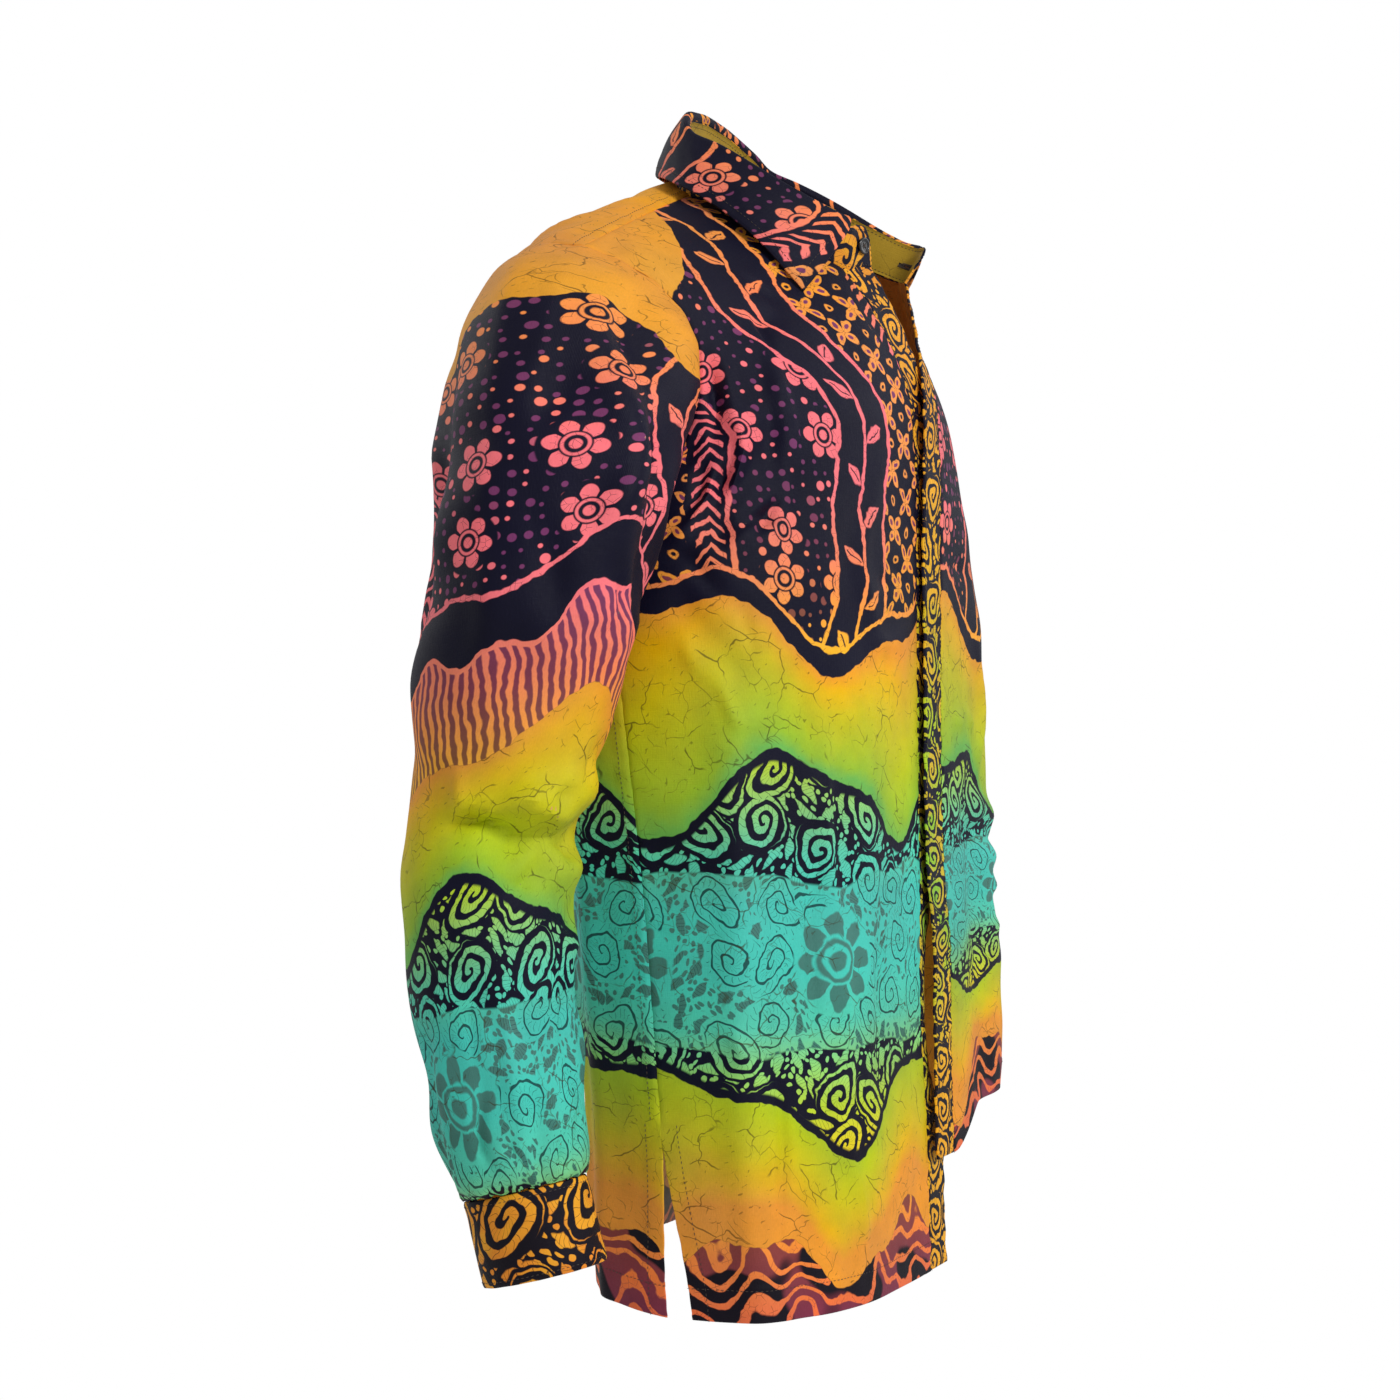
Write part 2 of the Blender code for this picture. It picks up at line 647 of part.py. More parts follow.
def loop_angles(loop):
    """The turn of each armhole point: the shoulder's top is half a turn from the underarm."""
    lengths = [0.0]
    for i in range(len(loop)):
        lengths.append(lengths[-1] + (loop[(i + 1) % len(loop)] - loop[i]).length)
    top = max(range(len(loop)), key=lambda i: loop[i].z)
    angles = []
    for i, length in enumerate(lengths[:-1]):
        if i <= top:
            angles.append(math.pi * length / lengths[top])
        else:
            angles.append(math.pi * (1 + (length - lengths[top]) / (lengths[-1] - lengths[top])))
    return angles


def cap_lead(angle):
    """The way the sleeve leaves the armhole at this angle."""
    up = (1 - math.cos(angle)) / 2
    swing = CAP_SWING_FORE if angle < math.pi else CAP_SWING_BACK
    lead = CAP_LEAD_UNDERARM.lerp(CAP_LEAD_TOP, up)
    return (lead + Vector((0.0, -swing * math.sin(angle), 0.0))).normalized()


def ring_values(t):
    rings = [(r.z, r.x, r.y) for r in SLEEVE]
    sizes = [(r.half_side, r.half_fore, r.tilt) for r in SLEEVE]
    return tuple(curve(rings, t)) + tuple(curve(sizes, t))


def sleeve_grid(loop):
    """Points of the right sleeve from the armhole to the cuff, before its folds."""
    angles = loop_angles(loop)
    top_ring = ring_values(0.0)
    points = []
    for k in range(CAP_ROWS):
        s = k / CAP_ROWS
        line = []
        for p0, angle in zip(loop, angles):
            p3 = ring_point(top_ring, angle)
            behind = max(0.0, -math.sin(angle))
            reach = (p3 - p0).length * (CAP_REACH + (CAP_REACH_BACK - CAP_REACH) * behind)
            lead = cap_lead(angle)
            p1, p2 = p0 + lead * reach, p3 + CAP_FALL.lerp(CAP_FALL_BACK, behind) * reach
            p = p0 * (1 - s) ** 3 + p1 * (3 * s * (1 - s) ** 2)
            p += p2 * (3 * s * s * (1 - s)) + p3 * s**3
            line.append(p + lead * SEAM_GAP if k == 0 else p)
        points.append(line)
    for t in row_steps(SLEEVE):
        ring = ring_values(t)
        points.append([ring_point(ring, angle) for angle in angles])
    return points, angles


def grid_normals(points, outward, closed):
    """Normals from the neighbours of each point."""
    rows, columns = len(points), len(points[0])
    normals = []
    for r in range(rows):
        line = []
        for c in range(columns):
            c0, c1 = c - 1, c + 1
            if closed:
                c1 %= columns
            else:
                c0, c1 = max(c0, 0), min(c1, columns - 1)
            along = points[r][c1] - points[r][c0]
            up = points[min(r + 1, rows - 1)][c] - points[max(r - 1, 0)][c]
            line.append((along.cross(up) * outward).normalized())
        normals.append(line)
    return normals


def build_sleeve(loop, left):
    points, angles = sleeve_grid(loop)
    normals = grid_normals(points, 1.0, True)
    last = len(points) - 1
    radius = (SLEEVE[0].half_side + SLEEVE[0].half_fore) / 2
    folds = [
        Fold(
            math.radians(f.angle_a) * radius,
            f.z_a,
            math.radians(f.angle_b) * radius,
            f.z_b,
            f.width,
            f.depth,
        )
        for f in SLEEVE_FOLDS
    ]
    for r in range(1, last):
        fade = ease(r / 3) * ease((last - r) / 1.5)
        for c, angle in enumerate(angles):
            p = points[r][c]
            points[r][c] = p + normals[r][c] * (fold_depth(folds, angle * radius, p.z) * fade)
    normals = grid_normals(points, 1.0, True)
    if left:
        points = [[mirrored(p) for p in row] for row in points]
        normals = [[mirrored(n) for n in row] for row in normals]
    side = "left" if left else "right"
    wall(f"{side}_sleeve", points, normals, closed=True)
    build_sleeve_placket(points, normals, angles, side)


def build_sleeve_placket(points, normals, angles, side):
    """A band over the sleeve's slit, lifted off the sleeve's own points."""
    middle = min(range(len(angles)), key=lambda i: abs(angles[i] - math.radians(PLACKET_ANGLE)))
    rows = range(len(points) - 2 - PLACKET_LENGTH_ROWS, len(points) - 1)
    columns = range(middle - 1, middle + 2)
    lift = SEAM_GAP + WALL
    band = [[points[r][c] + normals[r][c] * lift for c in columns] for r in rows]
    slopes = [[normals[r][c] for c in columns] for r in rows]
    wall(f"{side}_sleeve_placket", band, slopes)


def cuff_point(turn, down):
    """A point of the right cuff. turn runs from 0 at the inner end to 1 at the outer end."""
    mean = (CUFF_HALF_SIDE + CUFF_HALF_FORE) / 2
    lap = CUFF_OVERLAP / mean
    angle = math.radians(PLACKET_ANGLE) - lap / 2 + turn * (2 * math.pi + lap)
    past_lap = turn * (2 * math.pi + lap) / lap - 1.0
    tuck = (WALL + 3 * SEAM_GAP) * (1 - ease(past_lap / 1.5))
    end = SLEEVE[-1]
    tilt = math.radians(CUFF_TILT)
    x = end.x + CUFF_DRIFT * down
    axis = Vector((0.0, -math.sin(tilt), -math.cos(tilt)))
    ring = (end.z, x, end.y, CUFF_HALF_SIDE - tuck, CUFF_HALF_FORE - tuck, CUFF_TILT)
    return ring_point(ring, angle) + axis * (2 * SEAM_GAP + CUFF_LENGTH * down)


def build_cuff(left):
    turns, downs = spread(CUFF_COLUMNS), spread(CUFF_ROWS)
    points, normals = grid_of(cuff_point, turns, downs, 1.0)
    if left:
        points = [[mirrored(p) for p in row] for row in points]
        normals = [[mirrored(n) for n in row] for row in normals]
    side = "left" if left else "right"
    wall(f"{side}_cuff", points, normals)
    place = (points[1][-1] + points[1][-2]) / 2
    build_button(f"{side}_cuff_button", place, (normals[1][-1] + normals[1][-2]) / 2)


# ---------------------------------------------------------------- collar
def neckline(front_right, front_left, yoke, right_band, left_band):
    """The neck edge from the right front's end round the back to the left front's end."""
    corner = sum(r.steps for r in front_rows(False)[:NECK_CORNER_ROW])
    centre = sum(r.steps for r in YOKE[:CENTRE_BACK_ROW])
    right = [p for p in right_band[-1]]
    right += [row[0] for row in front_right[corner + 1 :]]
    right += [row[0] for row in yoke[1 : centre + 1]]
    left = [p for p in left_band[-1]]
    left += [row[0] for row in front_left[corner + 1 :]]
    left += [mirrored(row[0]) for row in yoke[1:centre]]
    return right, left


def outward_of(points, t):
    """The level direction away from the neck at place t of the neck edge."""
    last = len(points) - 1.0
    along = curve(points, min(t + 0.5, last)) - curve(points, max(t - 0.5, 0.0))
    return Vector((-along.y, along.x, 0.0)).normalized()


def stand_lean(share):
    """How far the stand tips out from upright at this share of its length."""
    right, back, left = STAND_TIP
    if share < 0.5:
        return math.radians(right + (back - right) * ease(share * 2))
    return math.radians(back + (left - back) * ease(share * 4 - 3))


def stand_places(points):
    """Places twice as close as the neck edge's own points, each with its share of the length."""
    places = [k / 2 for k in range(2 * len(points) - 1)]
    lengths = [0.0]
    for t, u in zip(places, places[1:]):
        lengths.append(lengths[-1] + (curve(points, u) - curve(points, t)).length)
    return places, lengths


def build_collar(right, left):
    points = right + list(reversed(left))
    places, lengths = stand_places(points)
    tops, frames = [], []
    for t, length in zip(places, lengths):
        share = length / lengths[-1]
        back = ease(1 - abs(share - 0.5) * 2)
        height = STAND_FRONT_HEIGHT + (STAND_BACK_HEIGHT - STAND_FRONT_HEIGHT) * back
        lean = stand_lean(share)
        out = outward_of(points, t)
        up = Vector((0.0, 0.0, 1.0))
        rise = up * math.cos(lean) + out * math.sin(lean)
        tops.append(curve(points, t) + rise * height)
        frames.append((out, out * math.cos(lean) - up * math.sin(lean), rise))
    last = len(points) - 1
    base = [points[int(t)].lerp(points[min(int(t) + 1, last)], t % 1) for t in places]
    base = [p + Vector((0.0, 0.0, 2 * SEAM_GAP)) for p in base]
    rows = []
    for s in (0.0, 0.5, 1.0):
        line = [b.lerp(t, s) for b, t in zip(base, tops)]
        for end, inward in ((0, 2), (-1, -3)):
            line[end] = line[end].lerp(line[inward], STAND_END_CUT * s * s)
        rows.append(line)
    normals = grid_normals(rows, -1.0, False)
    wall("collar_stand", rows, normals)
    build_leaf(tops, frames, lengths)
    place = rows[1][0].lerp(rows[1][2], COLLAR_BUTTON_SHARE)
    build_button("collar_button", place, normals[1][1])


def build_leaf(tops, frames, lengths):
    """The leaf rolls over the stand's top and falls to its lower edge."""
    middle = lengths[-1] / 2
    reach = middle - LEAF_INSET
    rows = []
    for top, (out, side, rise), length in zip(tops, frames, lengths):
        along = abs(length - middle) / reach
        if along > 1.0:
            continue
        edge = Vector(curve([e[1:] for e in LEAF_EDGE], leaf_row(along)))
        if length > middle:
            edge = mirrored(edge) + LEFT_LEAF_SHIFT * along
        line = [top + side * o + rise * u for o, u in LEAF_ROLL]
        start = line[-1] + side * LEAF_CLEAR - rise * LEAF_DROP
        for share in LEAF_FALL:
            bulge = LEAF_BULGE * math.sin(math.pi * share)
            line.append(start.lerp(edge, share) + out * bulge)
        rows.append(line)
    normals = grid_normals(rows, -1.0, False)
    wall("collar_leaf", rows, normals)


def leaf_row(along):
    """The row number in LEAF_EDGE at this share of the leaf's length."""
    for i in range(len(LEAF_EDGE) - 1):
        a, b = LEAF_EDGE[i].along, LEAF_EDGE[i + 1].along
        if along <= b:
            return i + (along - a) / (b - a)
    return float(len(LEAF_EDGE) - 1)


# ---------------------------------------------------------------- buttons
def build_button(name, place, out):
    """A plain round button on the cloth at place, facing out, with a raised rim."""
    out = out.normalized()
    profile = (
        (0.0, 0.0),
        (0.82, 0.0),
        (1.0, 0.30),
        (1.0, 0.80),
        (0.88, 1.0),
        (0.70, 0.78),
        (0.0, 0.72),
    )
    side = out.orthogonal().normalized()
    up = out.cross(side)
    seat = place + out * (SEAM_GAP * 2)
    bm = bmesh.new()
    rings = []
    for radius, height in profile:
        centre = seat + out * (BUTTON_THICKNESS * height)
        if radius == 0.0:
            rings.append([bm.verts.new(centre)])
            continue
        ring = []
        for k in range(BUTTON_SIDES):
            turn = 2 * math.pi * k / BUTTON_SIDES
            arm = side * math.cos(turn) + up * math.sin(turn)
            ring.append(bm.verts.new(centre + arm * (BUTTON_RADIUS * radius)))
        rings.append(ring)
    for low, high in zip(rings, rings[1:]):
        for k in range(BUTTON_SIDES):
            n = (k + 1) % BUTTON_SIDES
            if len(low) == 1:
                bm.faces.new((low[0], high[k], high[n]))
            elif len(high) == 1:
                bm.faces.new((low[k], low[n], high[0]))
            else:
                bm.faces.new((low[k], low[n], high[n], high[k]))
    finish_mesh(name, bm)


def build_front_buttons():
    """The fly's buttons lie between the two bands."""
    surface = band_surface(False)
    rows = [row.inner[2] for row in front_rows(False)[: NECK_CORNER_ROW + 1]]
    for number, z in enumerate(FRONT_BUTTON_Z, 1):
        i = next(k for k in range(len(rows) - 1) if rows[k] <= z <= rows[k + 1])
        t = i + (z - rows[i]) / (rows[i + 1] - rows[i])
        place = surface(0.5, t)
        along = surface(1.0, t) - surface(0.0, t)
        up = surface(0.5, t + 0.05) - surface(0.5, t - 0.05)
        out = along.cross(up)
        if out.y > 0:
            out = -out
        build_button(f"front_button_{number}", place, out)


# ---------------------------------------------------------------- materials
def cloth(name, colour, roughness=0.62):
    material = bpy.data.materials.new(name)
    material.use_nodes = True
    shader = material.node_tree.nodes["Principled BSDF"]
    shader.inputs["Base Color"].default_value = colour
    shader.inputs["Roughness"].default_value = roughness
    shader.inputs["Metallic"].default_value = 0.0
    return material


def dress():
    """Each object gets its own material."""
    colours = {
        "yoke": ORANGE,
        "cuff": GOLD,
        "band": GOLD,
        "collar": NAVY,
        "sleeve": NAVY,
        "front": TEAL,
        "back": LIME,
    }
    for obj in bpy.data.objects:
        if "button" in obj.name:
            material = cloth(obj.name, BUTTON_DARK, 0.3)
        else:
            word = next(w for w in colours if w in obj.name)
            material = cloth(obj.name, colours[word])
        obj.data.materials.append(material)


def main():
    for obj in list(bpy.data.objects):
        bpy.data.objects.remove(obj, do_unlink=True)
    right, right_out = front_grid(False)
    left, left_out = front_grid(True)
    back, back_out = back_grid()
    yoke, yoke_out = yoke_grid()
    share_normals((right_out, left_out), back_out, yoke_out)
    wall("right_front", right, right_out)
    wall("left_front", left, left_out)
    wall("back", back, back_out)
    build_yoke(yoke, yoke_out)
    right_band = build_band(False)
    left_band = build_band(True)
    loop = armhole(right, yoke, back)
    for is_left in (False, True):
        build_sleeve(loop, is_left)
        build_cuff(is_left)
    neck_right, neck_left = neckline(right, left, yoke, right_band, left_band)
    build_collar(neck_right, neck_left)
    build_front_buttons()
    dress()


main()
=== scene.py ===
"""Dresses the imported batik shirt: fine cloth, sewing, buttons, dyed print, light and camera.

Metres, +Z up. The front faces -Y and the wearer's right is -X.
"""

import math
from collections import namedtuple
from functools import partial

import bpy
import numpy as np
from mathutils import Matrix, Vector


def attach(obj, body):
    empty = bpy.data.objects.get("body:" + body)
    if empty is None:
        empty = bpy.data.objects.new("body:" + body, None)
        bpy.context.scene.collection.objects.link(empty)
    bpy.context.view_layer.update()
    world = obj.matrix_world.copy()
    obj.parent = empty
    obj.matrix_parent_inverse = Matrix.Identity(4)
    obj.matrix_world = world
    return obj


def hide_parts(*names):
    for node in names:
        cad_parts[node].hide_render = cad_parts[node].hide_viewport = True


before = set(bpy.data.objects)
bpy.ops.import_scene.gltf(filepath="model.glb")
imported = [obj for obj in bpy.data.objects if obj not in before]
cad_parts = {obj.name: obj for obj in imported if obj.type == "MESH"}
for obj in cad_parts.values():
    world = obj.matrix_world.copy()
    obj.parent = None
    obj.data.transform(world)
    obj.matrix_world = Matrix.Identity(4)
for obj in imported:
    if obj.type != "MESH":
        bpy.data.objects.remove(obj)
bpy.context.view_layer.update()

# ---------------- sizes of the solids
SEAM_GAP = 0.0003
HEM_Z = -0.698
SLIT_TOP_Z = -0.580
UNDERARM_Z = -0.240
CHEST_HALF_WIDTH = 0.206
HEM_HALF_WIDTH = 0.205
SLIT_OPEN = 0.017
BACK_HEM_RISE = 0.012
BAND_WIDTH = 0.034
FLY_STEP = 0.0048
FLY_GAP_WIDTH = 0.013
FLY_CURL = 2.2
BAND_TUCK = 0.0008
FLY_GAP_TOP_Z = -0.435
FLY_GAP_LOW_Z = -0.625
HITCH_TOP_Z = -0.36
HITCH_EDGE = 0.072
HITCH_FRONT = 0.097
HITCH_SIDE = 0.052
STAND_BACK_HEIGHT = 0.040
STAND_FRONT_HEIGHT = 0.027
STAND_TIP = (2.0, -14.0, 34.0)
STAND_END_CUT = 0.45
CUFF_LENGTH = 0.050
CUFF_OVERLAP = 0.024
CUFF_DRIFT = 0.0020
CUFF_HALF_SIDE = 0.0345
CUFF_HALF_FORE = 0.0370
CUFF_RADIUS = (CUFF_HALF_SIDE + CUFF_HALF_FORE) / 2
CUFF_TILT = 14.0
CUFF_WALL = 0.0016
BUTTON_RADIUS = 0.0055
BUTTON_THICKNESS = 0.0022
PANEL_WIDTH = 0.29
YOKE_HALF_WIDTH = 0.20
FADE_AT_BAND = 0.02
FADE_AT_SIDE = 0.03
FADE_ROWS = 1.5
PLACKET_ANGLE = 285.0
PLACKET_STEPS = (13.9, 19.3)
PLACKET_HALF_TURN = 0.21
LEAF_INSET = 0.030
LEAF_CLEAR = 0.0016
LEAF_DROP = 0.004
LEAF_BULGE = 0.002

# ---------------- sizes of the cloth
CLOTH = 0.0007
FIRM_CLOTH = 0.0013
GRAIN = 0.0042
HEM_DEPTH = 0.020
SLIT_FACING = 0.012
SEAM_RIDGE = 0.0005
SEAM_RIDGE_WIDTH = 0.007
HEM_RIDGE = 0.0004
PUCKER = 0.00035
PUCKER_LENGTH = 0.017
EDGE_ROUND = 0.4
FROM_FOLD = 0.0015

# Where each piece is cut from the printed cloth: its height there, and how far along.
PRINT_LOW = 0.002
YOKE_PRINT_LOW = 0.700
SLEEVE_PRINT_LOW = 0.155
BACK_PRINT = 0.62
YOKE_PRINT = 1.30
SLEEVE_PRINT = 2.05
CUFF_PRINT = 3.1
STAND_PRINT = 4.2
LEAF_PRINT = 5.4
LEAF_PRINT_TOP = 0.66
STAND_PRINT_LOW = 0.30
CUFF_PRINT_LOW = 0.02

# ---------------- sizes of the stitches and the thread
STITCH_PITCH = 0.0030
STITCH_LENGTH = 0.0021
THREAD = 0.00045
UNEVEN_TURN = 0.09
STRAND_APART = 0.00019
STRAND_RADIUS = 0.00021

# ---------------- tables of the form
Level = namedtuple("Level", "z half_width side_y front_y back_y front_full back_full")
BODY = (
    Level(HEM_Z, HEM_HALF_WIDTH, -0.021, -0.1150, 0.086, 0.78, 0.66),
    Level(SLIT_TOP_Z, 0.2050, -0.008, -0.1120, 0.092, 0.78, 0.66),
    Level(-0.450, 0.2030, 0.004, -0.1080, 0.107, 0.76, 0.66),
    Level(-0.335, 0.2050, 0.017, -0.1060, 0.128, 0.74, 0.66),
    Level(UNDERARM_Z, CHEST_HALF_WIDTH, 0.030, -0.1055, 0.146, 0.70, 0.68),
)
UNDERARM_ROW = 4

Row = namedtuple("Row", "inner corner outer full")
FRONT_TOP = (
    Row((-0.0178, -0.1055, -0.190), (-0.178, -0.0980, -0.202), (-0.190, 0.004, -0.208), 0.70),
    Row((-0.0200, -0.1000, -0.130), (-0.160, -0.0880, -0.152), (-0.174, -0.014, -0.165), 0.66),
    Row((-0.0310, -0.0830, -0.083), (-0.138, -0.0680, -0.118), (-0.168, -0.018, -0.128), 0.66),
    Row((-0.0400, -0.0630, -0.051), (-0.122, -0.0420, -0.092), (-0.171, -0.013, -0.101), 0.66),
    Row((-0.0630, -0.0360, -0.036), (-0.126, -0.0200, -0.069), (-0.181, -0.001, -0.082), 0.60),
    Row((-0.0730, 0.0020, -0.015), (-0.135, 0.0050, -0.041), (-0.197, 0.016, -0.067), 0.60),
    Row((-0.0700, 0.0330, -0.003), (-0.144, 0.0360, -0.028), (-0.216, 0.037, -0.057), 0.60),
)
NECK_CORNER_ROW = 8
SHOULDER_ROW = 11
YOKE = (
    FRONT_TOP[-1],
    Row((-0.0610, 0.0450, 0.005), (-0.146, 0.0570, -0.021), (-0.222, 0.060, -0.056), 0.60),
    Row((-0.0390, 0.0555, 0.014), (-0.146, 0.0820, -0.022), (-0.219, 0.085, -0.066), 0.60),
    Row((0.0, 0.0600, 0.018), (-0.140, 0.1060, -0.032), (-0.210, 0.103, -0.080), 0.60),
    Row((0.0, 0.1060, -0.026), (-0.145, 0.1370, -0.061), (-0.200, 0.116, -0.098), 0.60),
    Row((0.0, 0.1370, -0.087), (-0.155, 0.1560, -0.106), (-0.195, 0.124, -0.114), 0.64),
)
CENTRE_BACK_ROW = 3
BACK_TOP = (
    Row((0.0, 0.1520, -0.190), (-0.202, 0.1700, -0.196), (-0.197, 0.072, -0.205), 0.72),
    Row((0.0, 0.1490, -0.140), (-0.188, 0.1720, -0.154), (-0.190, 0.104, -0.158), 0.74),
    YOKE[-1],
)
BACK_TOP_ROW = 7
LEFT_INNER = {
    6: (-0.0270, -0.1035, -0.132),
    7: (-0.0500, -0.0805, -0.086),
    8: (-0.0640, -0.0660, -0.047),
    9: (-0.0700, -0.0370, -0.034),
}
RIGHT_BAND_EDGE = {
    5: (0.0165, -0.1050, -0.190),
    6: (0.0130, -0.1010, -0.132),
    7: (0.0010, -0.0900, -0.086),
    8: (-0.0090, -0.0715, -0.047),
}
LEFT_BAND_EDGE = {
    5: (0.0170, -0.1055, -0.190),
    6: (0.0070, -0.1070, -0.134),
    7: (-0.0230, -0.0910, -0.088),
    8: (-0.0380, -0.0790, -0.051),
}

# A fold runs on a panel from one point to another. across is metres from the centre line and
# z is its height. depth is out of the cloth where it is positive, and width is its half width.
Fold = namedtuple("Fold", "across_a z_a across_b z_b width depth")


def fold_table(*rows):
    return [Fold(*row) for row in rows]


RIGHT_FRONT_FOLDS = fold_table(
    (0.205, -0.270, 0.225, -0.760, 0.020, 0.0045), (0.150, -0.340, 0.165, -0.760, 0.022, -0.0045),
    (0.070, -0.250, 0.085, -0.760, 0.028, 0.0040), (0.205, -0.150, 0.120, -0.250, 0.018, -0.0060),
    (0.190, -0.110, 0.150, -0.240, 0.014, 0.0050), (0.250, -0.260, 0.180, -0.330, 0.014, -0.0035),
)
LEFT_FRONT_FOLDS = fold_table(
    (0.120, -0.200, 0.110, -0.760, 0.034, 0.0060), (0.185, -0.280, 0.190, -0.760, 0.020, -0.0050),
    (0.050, -0.330, 0.060, -0.760, 0.020, -0.0040), (0.030, -0.400, 0.180, -0.430, 0.012, 0.0045),
    (0.060, -0.450, 0.230, -0.480, 0.012, 0.0040), (0.205, -0.150, 0.120, -0.260, 0.018, -0.0060),
)
BACK_FOLDS = fold_table(
    (-0.205, -0.130, -0.220, -0.330, 0.022, -0.0060), (-0.155, -0.150, -0.170, -0.420, 0.024, 0.0050),
    (-0.230, -0.330, -0.205, -0.760, 0.018, 0.0050), (-0.130, -0.200, -0.120, -0.760, 0.022, -0.0060),
    (-0.050, -0.220, -0.060, -0.760, 0.026, 0.0050), (0.040, -0.200, 0.020, -0.760, 0.026, -0.0050),
    (0.105, -0.230, 0.115, -0.760, 0.024, 0.0055), (0.170, -0.150, 0.180, -0.700, 0.018, -0.0060),
    (0.215, -0.130, 0.225, -0.380, 0.020, 0.0050), (0.080, -0.430, 0.230, -0.470, 0.012, 0.0040),
)

# The right sleeve below its cap: one ring for each height. tilt lifts the ring's front.
Ring = namedtuple("Ring", "z x y half_side half_fore tilt")
SLEEVE = (
    Ring(-0.285, -0.2690, 0.0450, 0.0560, 0.0660, 0.0),
    Ring(-0.345, -0.2760, 0.0540, 0.0530, 0.0590, 0.0),
    Ring(-0.400, -0.2820, 0.0640, 0.0490, 0.0500, 0.0),
    Ring(-0.450, -0.2850, 0.0640, 0.0480, 0.0500, 2.0),
    Ring(-0.510, -0.2860, 0.0600, 0.0460, 0.0475, 4.0),
    Ring(-0.560, -0.2850, 0.0530, 0.0450, 0.0460, 7.0),
    Ring(-0.590, -0.2840, 0.0465, 0.0440, 0.0425, 10.0),
    Ring(-0.604, -0.2830, 0.0435, 0.0415, 0.0395, 13.0),
    Ring(-0.6115, -0.2825, 0.0425, CUFF_HALF_SIDE, CUFF_HALF_FORE, CUFF_TILT),
)
# The cloth's length from each ring to the next, and the number of steps down to each ring.
RING_LENGTHS = (0.060, 0.056, 0.050, 0.060, 0.050, 0.032, 0.016, 0.009)
RING_STEPS = (0, 2, 4, 6, 8, 10, 11, 12, 13)
CAP_STEPS = 7
CAP_LEAD_UNDERARM = (-0.75, 0.0, -0.60)
CAP_LEAD_TOP = (-0.93, 0.0, -0.36)
CAP_SWING_FORE = 0.34
CAP_SWING_BACK = 0.10
CAP_REACH = 0.40
CAP_REACH_BACK = 0.30
CAP_FALL = (0.05, -0.03, 1.0)
CAP_FALL_BACK = (0.05, -0.23, 1.0)
# Across a sleeve is its angle in degrees, 0 towards the body and 90 to the front.
SLEEVE_FOLDS = fold_table(
    (40.0, -0.405, 170.0, -0.412, 0.010, -0.0060), (50.0, -0.378, 150.0, -0.388, 0.012, 0.0055),
    (30.0, -0.430, 120.0, -0.425, 0.011, 0.0045), (100.0, -0.350, 30.0, -0.395, 0.010, -0.0040),
    (110.0, -0.120, 70.0, -0.300, 0.014, -0.0065), (135.0, -0.110, 95.0, -0.330, 0.014, 0.0055),
    (215.0, -0.110, 250.0, -0.280, 0.014, -0.0060), (240.0, -0.120, 275.0, -0.330, 0.014, 0.0050),
    (215.0, -0.500, 240.0, -0.640, 0.010, -0.0040), (285.0, -0.520, 280.0, -0.640, 0.010, -0.0045),
    (130.0, -0.540, 140.0, -0.640, 0.010, -0.0035), (60.0, -0.540, 55.0, -0.640, 0.010, -0.0035),
)

LeafEdge = namedtuple("LeafEdge", "along x y z")
LEAF_EDGE = (
    LeafEdge(0.00, 0.0, 0.0750, 0.0160),
    LeafEdge(0.25, -0.0500, 0.0660, 0.0150),
    LeafEdge(0.48, -0.0860, 0.0380, 0.0040),
    LeafEdge(0.68, -0.0960, 0.0040, -0.0145),
    LeafEdge(0.86, -0.0930, -0.0260, -0.0390),
    LeafEdge(1.00, -0.0840, -0.0530, -0.0710),
)
LEAF_ROLL = ((-0.0016, 0.0006), (-0.0014, 0.0038), (0.0008, 0.0062), (0.0038, 0.0050))
LEAF_FALL = (0.08, 0.38, 0.70, 1.0)
LEFT_LEAF_SHIFT = (0.006, -0.004, 0.016)

# ---------------- finer creases
# The small creases have the folds' columns. They wander and swell along their length.
RIGHT_FRONT_CREASES = fold_table(
    (0.278, -0.105, 0.232, -0.225, 0.008, -0.0040), (0.258, -0.110, 0.215, -0.225, 0.008, 0.0028),
    (0.280, -0.160, 0.205, -0.262, 0.009, 0.0026), (0.272, -0.190, 0.190, -0.238, 0.007, -0.0028),
    (0.195, -0.205, 0.160, -0.232, 0.010, -0.0030), (0.255, -0.232, 0.170, -0.300, 0.007, -0.0018),
    (0.250, -0.300, 0.180, -0.345, 0.006, 0.0014), (0.045, -0.150, 0.070, -0.330, 0.009, 0.0014),
    (0.110, -0.330, 0.118, -0.620, 0.009, 0.0020), (0.132, -0.300, 0.136, -0.580, 0.007, -0.0018),
    (0.060, -0.400, 0.052, -0.640, 0.008, -0.0014), (0.095, -0.470, 0.100, -0.690, 0.006, 0.0012),
    (0.185, -0.430, 0.190, -0.690, 0.008, -0.0018), (0.020, -0.430, 0.060, -0.450, 0.005, 0.0010),
    (0.018, -0.245, 0.055, -0.262, 0.005, -0.0011), (0.018, -0.300, 0.070, -0.290, 0.005, 0.0011),
    (0.230, -0.520, 0.200, -0.575, 0.006, 0.0012), (0.120, -0.060, 0.180, -0.120, 0.008, -0.0016),
)
